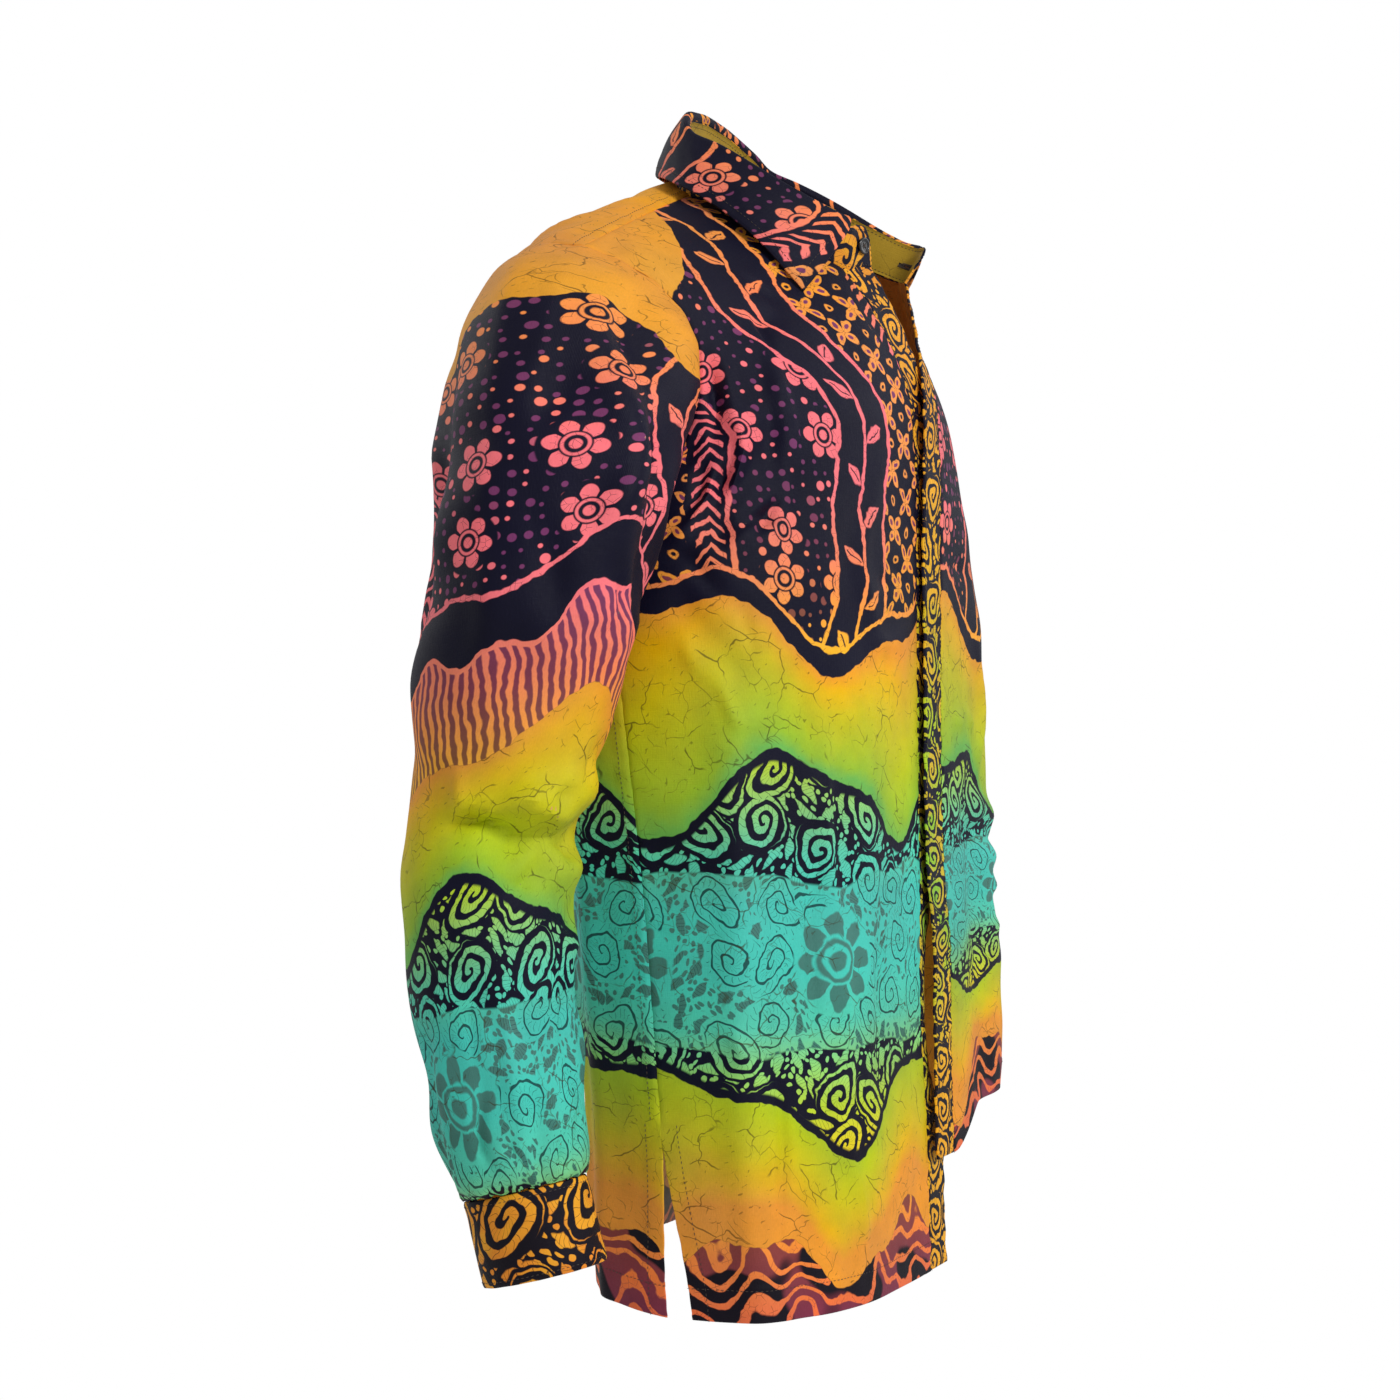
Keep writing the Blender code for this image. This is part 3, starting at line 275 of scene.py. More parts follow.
LEFT_FRONT_CREASES = fold_table(
    (0.278, -0.105, 0.225, -0.220, 0.008, -0.0032), (0.280, -0.160, 0.200, -0.270, 0.009, 0.0026),
    (0.260, -0.235, 0.170, -0.300, 0.007, -0.0020), (0.025, -0.425, 0.150, -0.455, 0.007, -0.0012),
    (0.040, -0.475, 0.190, -0.505, 0.008, 0.0012), (0.090, -0.505, 0.250, -0.525, 0.007, -0.0012),
    (0.030, -0.520, 0.120, -0.560, 0.008, 0.0010), (0.070, -0.250, 0.080, -0.420, 0.009, 0.0018),
    (0.150, -0.300, 0.160, -0.600, 0.009, 0.0022), (0.215, -0.330, 0.220, -0.600, 0.008, -0.0018),
    (0.018, -0.235, 0.060, -0.252, 0.005, -0.0012), (0.018, -0.350, 0.065, -0.338, 0.005, 0.0012),
    (0.100, -0.080, 0.170, -0.130, 0.008, -0.0016),
)
BACK_CREASES = fold_table(
    (-0.270, -0.150, -0.170, -0.250, 0.009, 0.0030), (-0.275, -0.190, -0.180, -0.300, 0.008, -0.0028),
    (0.270, -0.150, 0.170, -0.250, 0.009, 0.0030), (0.275, -0.190, 0.180, -0.300, 0.008, -0.0028),
    (-0.100, -0.130, -0.080, -0.400, 0.010, 0.0022), (-0.020, -0.160, -0.010, -0.470, 0.010, -0.0020),
    (0.075, -0.140, 0.060, -0.430, 0.009, 0.0020), (0.140, -0.180, 0.150, -0.500, 0.009, -0.0022),
    (-0.160, -0.430, -0.165, -0.690, 0.009, 0.0020), (-0.085, -0.450, -0.090, -0.690, 0.008, -0.0018),
    (0.000, -0.480, 0.010, -0.690, 0.008, 0.0018), (0.205, -0.420, 0.150, -0.500, 0.008, 0.0024),
    (0.250, -0.450, 0.120, -0.520, 0.007, -0.0020), (0.070, -0.560, 0.080, -0.690, 0.007, 0.0014),
)
# Across the yoke from the centre, and back from the shoulder seam.
YOKE_CREASES = fold_table(
    (0.090, 0.010, 0.150, 0.120, 0.008, -0.0010), (0.120, 0.000, 0.190, 0.080, 0.007, 0.0012),
    (0.040, 0.080, 0.090, 0.160, 0.009, 0.0010), (0.160, 0.060, 0.200, 0.130, 0.008, -0.0010),
)
SLEEVE_CREASES = fold_table(
    (134.0, -0.075, 92.0, -0.235, 0.0075, -0.0044), (150.0, -0.080, 112.0, -0.250, 0.0090, 0.0034),
    (122.0, -0.240, 100.0, -0.330, 0.0080, -0.0030), (165.0, -0.120, 140.0, -0.300, 0.0100, -0.0022),
    (70.0, -0.180, 40.0, -0.300, 0.008, 0.0026), (95.0, -0.260, 55.0, -0.360, 0.008, -0.0022),
    (70.0, -0.408, 200.0, -0.404, 0.0052, -0.0046), (75.0, -0.396, 190.0, -0.392, 0.0062, 0.0030),
    (80.0, -0.420, 195.0, -0.416, 0.0085, 0.0016), (88.0, -0.362, 125.0, -0.390, 0.0050, -0.0026),
    (84.0, -0.376, 150.0, -0.384, 0.0050, 0.0018), (60.0, -0.418, 150.0, -0.432, 0.006, -0.0020),
    (35.0, -0.446, 110.0, -0.470, 0.007, 0.0018), (150.0, -0.395, 205.0, -0.360, 0.007, 0.0016),
    (170.0, -0.150, 175.0, -0.330, 0.011, 0.0016), (140.0, -0.460, 150.0, -0.600, 0.008, 0.0016),
    (100.0, -0.470, 95.0, -0.600, 0.007, -0.0016), (175.0, -0.500, 170.0, -0.606, 0.006, -0.0016),
    (110.0, -0.565, 112.0, -0.610, 0.004, -0.0014), (150.0, -0.575, 152.0, -0.610, 0.004, -0.0013),
    (60.0, -0.565, 62.0, -0.610, 0.004, -0.0014), (310.0, -0.400, 250.0, -0.420, 0.008, 0.0016),
    (230.0, -0.180, 262.0, -0.300, 0.009, -0.0024), (285.0, -0.200, 300.0, -0.330, 0.009, 0.0020),
)
RUMPLE = ((0.120, 0.00090), (0.066, 0.00038), (0.036, 0.00014))
LEAF_CREASES = fold_table(
    (-0.150, -0.030, -0.080, -0.012, 0.008, 0.0008), (0.060, -0.010, 0.140, -0.040, 0.008, -0.0008),
)
SLEEVE_COLUMNS = 112
BUTTONHOLE = (0.0235, 0.0365)
STAND_CORNER = 0.013
CREASE_STRENGTH = 1.6
# Row numbers close to the hem, where its fold and its stitches are.
HEM_ROWS = (0.009, 0.02, 0.155, 0.165, 0.175, 0.185)

# ---------------- buttons
BUTTON_SIDES = 40
BUTTONS = ("collar_button", *(f"front_button_{n}" for n in range(1, 6)), "right_cuff_button",
           "left_cuff_button")
# Radius and height, in shares of the button's own, from the back round to the dish.
BUTTON_PROFILE = (
    (0.0, 0.02), (0.78, 0.0), (0.93, 0.12), (1.0, 0.36), (1.0, 0.66), (0.95, 0.86),
    (0.87, 0.97), (0.79, 0.96), (0.72, 0.84), (0.64, 0.72), (0.50, 0.68),
)
DISH_SHARE = 0.52
HOLE_SHARE = 0.115
HOLE_PLACE = 0.23

# ---------------- studio
FLOOR_Z = -1.43
FLOOR_RADIUS = 2.4
FLOOR_SIDES = 96
AIR = 0.44
LAMPS = (
    ("key_lamp", (-1.5, -3.0, 1.6), 1.2, 88.0),
    ("fill_lamp", (2.4, -2.0, 1.0), 2.2, 16.0),
    ("back_lamp", (0.4, 2.8, 1.4), 2.2, 22.0),
)
LAMP_AIM_Z = -0.30
CAMERA_PLACE = (-1.7153, -0.6930, -0.330)
CAMERA_TURN = -68.0
CAMERA_SHIFT = -0.0543
CAMERA_LENS = 71.36


# ---------------- new objects
def placed(name, data):
    """A new object in the scene."""
    obj = bpy.data.objects.new(name, data)
    bpy.context.collection.objects.link(obj)
    return obj


def mesh_of(name, corners, faces, edges=()):
    mesh = bpy.data.meshes.new(name)
    mesh.from_pydata([tuple(c) for c in corners], edges, faces)
    return mesh


def evaluated(obj):
    """A plain mesh of the object with its modifiers."""
    bpy.context.view_layer.update()
    depsgraph = bpy.context.evaluated_depsgraph_get()
    return bpy.data.meshes.new_from_object(obj.evaluated_get(depsgraph))


def hand_name(left):
    return "left" if left else "right"


# ---------------- curves
def ease(value):
    """A smooth step from 0 to 1."""
    value = np.clip(value, 0.0, 1.0)
    return value * value * (3.0 - 2.0 * value)


def unit(vectors):
    return vectors / np.maximum(np.linalg.norm(vectors, axis=-1, keepdims=True), 1e-12)


def mirrored(points):
    return points * np.array((-1.0, 1.0, 1.0))


def curve(points, t, breaks=()):
    """The smooth curve through the points at each row number t. At a break it may turn."""
    points = np.asarray(points, float)
    points = points[:, None] if points.ndim == 1 else points
    last = len(points) - 1
    chords = points[1:] - points[:-1]
    starts, ends = chords.copy(), chords.copy()
    for i in range(last):
        if i > 0 and i not in breaks:
            starts[i] = (points[i + 1] - points[i - 1]) / 2
        if i + 2 <= last and i + 1 not in breaks:
            ends[i] = (points[i + 2] - points[i]) / 2
    t = np.asarray(t, float)
    i = np.clip(np.floor(t).astype(int), 0, last - 1)
    f = (t - i)[..., None]
    return (
        points[i] * (2 * f**3 - 3 * f**2 + 1)
        + starts[i] * (f**3 - 2 * f**2 + f)
        + points[i + 1] * (3 * f**2 - 2 * f**3)
        + ends[i] * (f**3 - f**2)
    )


def across_row(rows, a, t, breaks_in, breaks_out):
    """Points a of the way from the inner to the outer edge of the rows t."""
    inner = curve([r.inner for r in rows], t, breaks_in)
    corner = curve([r.corner for r in rows], t)
    outer = curve([r.outer for r in rows], t, breaks_out)
    full = curve([r.full for r in rows], t)
    near, far = inner + (corner - inner) * full, outer + (corner - outer) * full
    a = a[..., None]
    b = 1.0 - a
    return inner * b**3 + near * (3 * b * b * a) + far * (3 * b * a * a) + outer * a**3


def fold_depth(folds, across, z, wander=0.0):
    """How far the folds stand out. With some wander they bend and swell on their way."""
    total = np.zeros_like(across)
    for number, fold in enumerate(folds):
        du, dz = fold[2] - fold[0], fold[3] - fold[1]
        reach = math.hypot(du, dz)
        t = ((across - fold[0]) * du + (z - fold[1]) * dz) / reach**2
        side = ((across - fold[0]) * dz - (z - fold[1]) * du) / reach
        bend = np.sin(t * 5.1 + number * 1.7) + 0.45 * np.sin(t * 12.3 + number * 2.9)
        off = (side + bend * wander * fold.width) / fold.width
        swell = 1.0 + 0.6 * wander * np.sin(t * 8.7 + number * 2.3)
        shape = fold.depth * swell * np.exp(-off * off) * ease(t * 4) * ease((1 - t) * 4)
        total += np.where((t > 0) & (t < 1), shape, 0.0)
    return total


def rumple(u, v, seed):
    """Low shallow unevenness of cloth that has been worn, from a few crossing waves."""
    rng = np.random.default_rng(seed)
    total = np.zeros_like(u)
    for length, depth in RUMPLE:
        for _ in range(5):
            turn, phase = rng.uniform(0, math.pi), rng.uniform(0, 2 * math.pi)
            k = 2 * math.pi / (length * rng.uniform(0.75, 1.35))
            total += depth * 0.5 * np.sin(k * (u * math.cos(turn) + v * math.sin(turn)) + phase)
    return total


def pucker(distance, along, seed):
    """Small ripples that a row of stitches draws in the cloth beside it."""
    k = 2 * math.pi / PUCKER_LENGTH
    wave = np.sin(k * along + seed) + 0.6 * np.sin(k * 0.63 * along + seed * 2.1)
    return PUCKER * wave * np.exp(-((distance / 0.012) ** 2))


def dip(distance, depth=0.0006, reach=0.0010):
    """A narrow fall of the cloth beside an edge or a seam."""
    return -depth * np.exp(-((distance / reach) ** 2))


def seam_step(distance, ridge):
    """The sewn ridge beside a seam, and the narrow valley at the seam itself."""
    return dip(distance, 0.0007, 0.0012) + ridge * (
        1 - ease((distance - SEAM_RIDGE_WIDTH) / 0.0022)
    )


def arc(points, axis, used=(0, 1, 2)):
    """Length along the rows or columns of a grid, of the named coordinates only."""
    steps = np.linalg.norm(np.diff(points[..., used], axis=axis), axis=-1)
    return np.insert(np.cumsum(steps, axis=axis), 0, 0.0, axis=axis)


def face_out(points, outward, closed=False):
    """Normals of a grid. outward is the sign that turns them out of the garment."""
    if closed:
        around = np.concatenate((points[:, -1:], points, points[:, :1]), axis=1)
        along = np.gradient(around, axis=1)[:, 1:-1]
    else:
        along = np.gradient(points, axis=1)
    return unit(np.cross(along, np.gradient(points, axis=0)) * outward)


def raised(base, depth, outward, closed=False):
    """The grid moved out by the depth, and its normals there."""
    points = base + face_out(base, outward, closed) * depth[..., None]
    return points, face_out(points, outward, closed)


def spaced(intervals, extra=()):
    """Row numbers with even steps of the grain in each interval, and a few of their own."""
    values = [float(len(intervals))]
    for i, length in enumerate(intervals):
        count = max(2, math.ceil(length / GRAIN))
        values += [i + k / count for k in range(count)]
    values = sorted(set(round(v, 5) for v in values + list(extra)))
    return np.array([v for i, v in enumerate(values) if i == 0 or v - values[i - 1] > 0.002])


def across_values(width):
    """Places from 0 to 1 across a panel, closer together beside its seams."""
    near = np.array((0.0, 0.0011, 0.0024, 0.0048, 0.0070, 0.0092)) / width
    middle = np.linspace(0.0125, width - 0.0125, round(width / GRAIN)) / width
    return np.concatenate((near, middle, 1 - near[::-1]))


# ---------------- cloth pieces
def wall(name, points, normals, thick, cut, closed=False, gaps=None, index=None):
    """Cloth with its outer face on the points. cut is each point's place on the flat cloth.

    gaps names the quads that are left out, and index gives one number to points that are one.
    """
    rows, columns = points.shape[:2]
    count = rows * columns
    if index is None:
        index = np.arange(count).reshape(rows, columns)
    thick = np.broadcast_to(thick, (rows, columns)).reshape(-1)
    outer = points.reshape(-1, 3)
    facing = normals.reshape(-1, 3)
    inner = outer - facing * thick[:, None]
    turns = columns if closed else columns - 1
    r, c = np.meshgrid(np.arange(rows - 1), np.arange(turns), indexing="ij")
    d = (c + 1) % columns
    quads = np.stack((index[r, c], index[r, d], index[r + 1, d], index[r + 1, c]), -1)
    places = np.stack((cut[r, c], cut[r, c + 1], cut[r + 1, c + 1], cut[r + 1, c]), -2)
    keep = np.ones(quads.shape[:2], bool) if gaps is None else ~gaps
    quads, places = quads[keep], places[keep]
    p = outer[quads]
    if (np.cross(p[:, 1] - p[:, 0], p[:, 3] - p[:, 0]) * facing[quads[:, 0]]).sum() < 0:
        quads, places = quads[:, ::-1], places[:, ::-1]

    # An edge with one quad only is on the border, which gets a rounded rim of two quads.
    owners = {}
    for n, quad in enumerate(quads.tolist()):
        for k in range(4):
            owners[(quad[k], quad[(k + 1) % 4])] = (n, k)
    border = [(pair, owner) for pair, owner in owners.items() if pair[::-1] not in owners]
    middles = outer[quads].mean(axis=1)
    total, number = np.zeros((count, 3)), np.zeros((count, 1))
    for k in range(4):
        np.add.at(total, quads[:, k], middles)
        np.add.at(number, quads[:, k], 1.0)
    ends = sorted({v for pair, _ in border for v in pair})
    away = unit(outer[ends] - total[ends] / number[ends])
    away = unit(away - facing[ends] * (away * facing[ends]).sum(axis=1)[:, None])
    rim = (outer[ends] + inner[ends]) / 2 + away * (thick[ends] * EDGE_ROUND)[:, None]
    rim_at = {v: 2 * count + i for i, v in enumerate(ends)}
    strips, strip_places = [], []
    for (v, w), (n, k) in border:
        at_v, at_w = places[n, k], places[n, (k + 1) % 4]
        strips.append((w, v, rim_at[v], rim_at[w]))
        strips.append((rim_at[w], rim_at[v], v + count, w + count))
        strip_places += [(at_w, at_v, at_v, at_w)] * 2

    faces = np.concatenate((quads, quads[:, ::-1] + count, np.array(strips, int)))
    uvs = np.concatenate((places, places[:, ::-1], np.array(strip_places)))
    used, faces = np.unique(faces, return_inverse=True)
    faces = faces.reshape(-1, 4)
    corners = np.concatenate((outer, inner, rim))[used]
    mesh = mesh_of(name, corners.tolist(), faces.tolist())
    layer = mesh.uv_layers.new(name="cut")
    layer.data.foreach_set("uv", uvs.reshape(-1).astype(np.float32))
    side = np.zeros(len(faces), np.int32)
    side[len(quads) : 2 * len(quads)] = 1
    mesh.polygons.foreach_set("material_index", side)
    mesh.shade_smooth()
    mesh.set_sharp_from_angle(angle=math.radians(48))
    mesh.update()
    return placed(name, mesh)


def sew(node, slot_name, points, normals, thick, cut, skins, flat, held, area=None, name=None,
        **form):
    """Makes the cloth piece of a node. skins are the finishes of its outside and inside."""
    piece = wall(name or f"cloth_{node}", points, normals, thick, cut, **form)
    for skin in skins:
        piece.data.materials.append(skin)
    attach(piece, "root")
    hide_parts(node)


def lines_at(points, normals, *picks):
    """Sewing lines: the points at each pick, and the way that the cloth faces there."""
    return [(points[pick], normals[pick]) for pick in picks]


def lines_inside(points, normals, inset=3):
    """The four sewing lines just inside the edges of a piece."""
    inner = slice(inset, -inset)
    picks = ((inset, inner), (-1 - inset, inner), (inner, inset), (inner, -1 - inset))
    return lines_at(points, normals, *picks)


def worn_depth(folds, creases, across, z, u, v, fade, calm, seed):
    """Folds that fade at the seams, with the finer creases and rumples of worn cloth."""
    depth = fold_depth(folds, across, z) * fade
    depth += calm * CREASE_STRENGTH * fold_depth(creases, across, z, 1.0)
    return depth + calm * rumple(u, v, seed)


def side_and_hem(u, v, z, from_side, turned, calm, ridge, phase):
    """The side seam down to its slit, with the hem and the slit's edge folded double."""
    depth = pucker(from_side, v, 0.4) * ease((v - 0.01) / 0.02)
    depth += 0.8 * pucker(v - HEM_DEPTH, u, phase) * calm
    depth += seam_step(from_side, ridge) * ease((z - SLIT_TOP_Z) / 0.004 + 1)
    return depth + HEM_RIDGE * turned


# ---------------- body panels
def front_rows(left):
    """All rows of one front, as a right half."""
    rise = FLY_STEP if left else 0.0
    lower = [
        Row(
            (-BAND_WIDTH / 2, b.front_y - rise, b.z),
            (-b.half_width, b.front_y - rise, b.z),
            (-b.half_width, b.side_y, b.z),
            b.front_full,
        )
        for b in BODY
    ]
    upper = list(FRONT_TOP)
    if left:
        first = UNDERARM_ROW + 1
        upper = [r._replace(inner=LEFT_INNER.get(first + i, r.inner)) for i, r in enumerate(upper)]
        x, y, z = upper[0].inner
        upper[0] = upper[0]._replace(inner=(x, y - rise, z))
    return lower + upper


def back_rows():
    lower = []
    for i, b in enumerate(BODY):
        z = b.z if i else b.z + BACK_HEM_RISE
        outer = (-b.half_width, b.side_y, b.z)
        lower.append(
            Row((0.0, b.back_y, z), (-b.half_width, b.back_y, z), outer, b.back_full)
        )
    return lower + list(BACK_TOP)


def slit_shift(z, a, forward):
    """How far the slit's edge swings from the side seam at this height."""
    drop = ease((SLIT_TOP_Z - z) / (SLIT_TOP_Z - HEM_Z)) * ease(a * 2 - 1)
    return (-forward if forward else 1.0) * SLIT_OPEN / 2 * drop


def fly_shift(z, a):
    """Below the last button the two fronts part and close again towards the hem."""
    share = (FLY_GAP_TOP_Z - z) / (FLY_GAP_TOP_Z - FLY_GAP_LOW_Z)
    part = FLY_GAP_WIDTH / 2 * np.sin(math.pi * np.clip(share, 0, 1)) ** 2
    return part * (1.0 - ease(a * 3))


def hitched(points, a, front):
    """The left side is drawn up: a is 0 at the centre line and 1 at the side seam."""
    drop = ease((HITCH_TOP_Z - points[..., 2]) / (HITCH_TOP_Z - HEM_Z))
    if front:
        rise = HITCH_EDGE + (HITCH_FRONT - HITCH_EDGE) * ease(a * 6)
        rise = rise + (HITCH_SIDE - HITCH_FRONT) * ease((a - 0.5) * 2)
    else:
        rise = HITCH_SIDE * ease(a)
    moved = points.copy()
    moved[..., 2] += rise * drop
    return moved


def seam_window(a, near):
    """Folds fade out at the seams, so that neighbouring panels meet."""
    side = ease((1 - a) * PANEL_WIDTH / FADE_AT_SIDE)
    return side * ease(a * PANEL_WIDTH / near) if near else side


def column_lengths(form, rows, at):
    """Length of each table interval down the column at this place across."""
    lengths = []
    for i in range(rows - 1):
        t = np.linspace(i, i + 1, 9)
        line = form(np.full_like(t, at), t)
        lengths.append(np.linalg.norm(np.diff(line, axis=0), axis=1).sum())
    return lengths


def turned_under(from_hem, from_side, z):
    """1 where the hem or the slit's edge is folded double, and 0 elsewhere."""
    hem = 1 - ease((from_hem - HEM_DEPTH) / 0.002)
    slit = (1 - ease((from_side - SLIT_FACING) / 0.002)) * ease((SLIT_TOP_Z + 0.004 - z) / 0.003)
    return np.maximum(hem, slit)


def at_distance(points, normals, distance, wanted, axis):
    """The line on a grid where the distance, which grows along the axis, is the wanted one."""
    if axis == 1:
        points, normals = points.swapaxes(0, 1), normals.swapaxes(0, 1)
        distance = distance.swapaxes(0, 1)
    if distance[0, 0] > distance[-1, 0]:
        points, normals, distance = points[::-1], normals[::-1], distance[::-1]
    i = np.clip((distance < wanted).sum(axis=0), 1, len(distance) - 1)
    c = np.arange(distance.shape[1])
    low, high = distance[i - 1, c], distance[i, c]
    share = np.clip((wanted - low) / np.maximum(high - low, 1e-9), 0, 1)[:, None]
    line = points[i - 1, c] * (1 - share) + points[i, c] * share
    return line, unit(normals[i - 1, c] * (1 - share) + normals[i, c] * share)


def front_panel(left, skins):
    """One front panel. It gives its sewing lines."""
    rows = front_rows(left)

    def form(a, t):
        p = across_row(rows, a, t, (NECK_CORNER_ROW,), (UNDERARM_ROW,))
        z = p[..., 2]
        p[..., 1] += slit_shift(z, a, 1.0)
        p[..., 0] -= fly_shift(z, a)
        return p

    t_values = spaced(column_lengths(form, len(rows), 0.6), HEM_ROWS + (10.91, 10.95, 10.98))
    a, t = np.meshgrid(across_values(PANEL_WIDTH), t_values)
    base = form(a, t)
    u = np.abs(base[:, :1, 0]) + arc(base, 1, [0, 1])
    v = arc(base, 0, [1, 2])
    z = base[..., 2]
    from_band, from_side, from_top = u - u[:, :1], u[:, -1:] - u, v[-1:] - v
    fade = seam_window(a, FADE_AT_BAND) * ease((SHOULDER_ROW - t) / FADE_ROWS)
    calm = ease(from_band / 0.02) * ease(from_side / 0.016) * ease(from_top / 0.02)
    calm *= ease((v + 0.01) / 0.03)
    folds, creases, seed = (
        (LEFT_FRONT_FOLDS, LEFT_FRONT_CREASES, 31) if left
        else (RIGHT_FRONT_FOLDS, RIGHT_FRONT_CREASES, 7)
    )
    turned = turned_under(v, from_side, z)
    depth = worn_depth(folds, creases, a * PANEL_WIDTH, z, u, v, fade, calm, seed)
    depth += side_and_hem(u, v, z, from_side, turned, calm, 0.0, 2.7)
    depth += pucker(from_band, v, 1.9) * ease(from_top / 0.03)
    depth += seam_step(from_band, 0.0) + seam_step(from_top, 0.0)
    points = base + face_out(base, -1.0) * depth[..., None]
    if left:
        points = hitched(mirrored(points), a, True)
    normals = face_out(points, 1.0 if left else -1.0)
    cut = np.stack((u if left else -u, v + PRINT_LOW), -1)
    hand = hand_name(left)
    flat, area = ((0.275, 0.670), 0.145) if left else ((0.275, 0.770), 0.166)
    sew(f"{hand}_front", f"cloth_front_{hand}", points, normals, CLOTH * (1 + turned), cut, skins,
        flat, "hung", area)
    slit = at_distance(points, normals, from_side, SLIT_FACING - FROM_FOLD, 1)
    below_slit = slit[0][:, 2] < SLIT_TOP_Z + (0.02 if left else 0.0)
    hem = at_distance(points, normals, v, HEM_DEPTH - FROM_FOLD, 0)
    return [hem] + lines_at(*slit, below_slit)


def back_panel(skins):
    """The whole back. It gives its sewing lines."""
    rows = back_rows()

    def form(a, t):
        p = across_row(rows, np.abs(a), t, (), (UNDERARM_ROW,))
        p[..., 1] += slit_shift(p[..., 2], np.abs(a), 0.0)
        return np.where((a > 0)[..., None], mirrored(p), p)

    t_values = spaced(column_lengths(form, len(rows), 0.6), HEM_ROWS + (6.93, 6.96, 6.985))
    half = across_values(PANEL_WIDTH)
    half = half[(half == 0) | (half > 0.012)]
    a, t = np.meshgrid(np.concatenate((-half[::-1], half[1:])), t_values)
    base = form(a, t)
    centre = len(half) - 1
    u = arc(base, 1, [0, 1])
    u = u - u[:, centre : centre + 1]
    v = arc(base, 0, [1, 2])
    z = base[..., 2]
    from_side = np.where(a > 0, u[:, -1:] - u, u - u[:, :1])
    from_top = v[-1:] - v
    fade = seam_window(np.abs(a), 0.0) * ease((BACK_TOP_ROW - t) / FADE_ROWS)
    calm = ease(from_side / 0.016) * ease(from_top / 0.02) * ease((v + 0.01) / 0.03)
    turned = turned_under(v, from_side, z)
    depth = worn_depth(BACK_FOLDS, BACK_CREASES, a * PANEL_WIDTH, z, u, v, fade, calm, 19)
    depth += side_and_hem(u, v, z, from_side, turned, calm, SEAM_RIDGE, 0.9)
    depth += seam_step(from_top, 0.0)
    points = base + face_out(base, -1.0) * depth[..., None]
    points = np.where((a > 0)[..., None], hitched(points, np.maximum(a, 0), False), points)
    normals = face_out(points, -1.0)
    cut = np.stack((u + BACK_PRINT, v + PRINT_LOW), -1)
    sew("back", "cloth_back", points, normals, CLOTH * (1 + turned), cut, skins, (0.540, 0.620),
        "hung", 0.305, "cloth_back_panel")
    paths = [at_distance(points, normals, v, HEM_DEPTH - FROM_FOLD, 0)]
    for columns in (slice(0, centre), slice(centre + 1, None)):
        side = (points[:, columns], normals[:, columns], from_side[:, columns])
        line = at_distance(*side, SLIT_FACING - FROM_FOLD, 1)
        paths += lines_at(*line, line[0][:, 2] < SLIT_TOP_Z)
        line = at_distance(*side, SEAM_RIDGE_WIDTH - 0.001, 1)
        sewn = (line[0][:, 2] > SLIT_TOP_Z) & (t_values < UNDERARM_ROW + 0.02)
        paths += lines_at(*line, sewn)
    return paths


def yoke_panel(skins):
    """Both halves of the yoke, from the neck and the centre back to the armholes."""
    def form(a, t):
        return across_row(YOKE, a, t, (CENTRE_BACK_ROW,), ())

    extra = (0.03, 0.07, 0.15, 0.28, 4.86, 4.92, 4.95, 4.98)
    t_values = spaced(column_lengths(form, len(YOKE), 0.6), extra)
    a, t = np.meshgrid(across_values(YOKE_HALF_WIDTH), t_values)
    base = form(a, t)
    behind = t_values >= CENTRE_BACK_ROW
    u = np.abs(base[:, :1, 0]) + arc(base, 1, [0, 1])
    v = arc(base, 0, [1, 2])
    from_arm, from_front, from_back = u[:, -1:] - u, v, v[-1:] - v
    from_neck = np.where(behind[:, None], 1.0, u - u[:, :1])
    near_neck = np.hypot(base[..., 0], base[..., 1] - 0.02) - 0.075
    calm = ease(from_arm / 0.02) * ease(from_front / 0.02) * ease(from_back / 0.02)
    calm *= ease(from_neck / 0.015) * ease(near_neck / 0.02) * ease(u / 0.004)
    depth = calm * rumple(u + 0.7, v, 43)
    depth += calm * CREASE_STRENGTH * fold_depth(YOKE_CREASES, u, v, 1.0)
    depth += seam_step(from_front, SEAM_RIDGE) + seam_step(from_back, SEAM_RIDGE)
    depth += pucker(from_front, u, 1.2) + pucker(from_back, u, 3.2)
    depth += seam_step(from_arm, 0.0) * ease(from_front / 0.004) * ease(from_back / 0.004)
    out = face_out(base, -1.0)
    out[behind, 0, 0] = 0.0
    half = base + unit(out) * depth[..., None]
    half_out = face_out(half, -1.0)
    half[behind, 0, 0] = 0.0
    half_out[behind, 0, 0] = 0.0
    half_out = unit(half_out)
    # The halves lie side by side in one grid, and they share their points behind the neck.
    points, normals = (
        np.concatenate((mirrored(grid)[:, ::-1], grid), axis=1) for grid in (half, half_out)
    )
    wide = np.concatenate((u[:, ::-1], -u), axis=1) + YOKE_PRINT
    tall = np.concatenate((v[:, ::-1], v), axis=1) + YOKE_PRINT_LOW
    rows, columns = points.shape[:2]
    index = np.arange(rows * columns).reshape(rows, columns)
    middle = columns // 2
    index[behind, middle] = index[behind, middle - 1]
    gaps = np.zeros((rows - 1, columns - 1), bool)
    gaps[:, middle - 1] = True
    sew("yoke", "cloth_yoke", points, normals, 2 * CLOTH, np.stack((wide, tall), -1), skins,
        (0.450, 0.170), "hung", 0.065, gaps=gaps, index=index)
    return [
        at_distance(grid, facing, distance, SEAM_RIDGE_WIDTH - 0.001, 0)
        for grid, facing in ((half, half_out), (mirrored(half), mirrored(half_out)))
        for distance in (from_front, from_back)
    ]


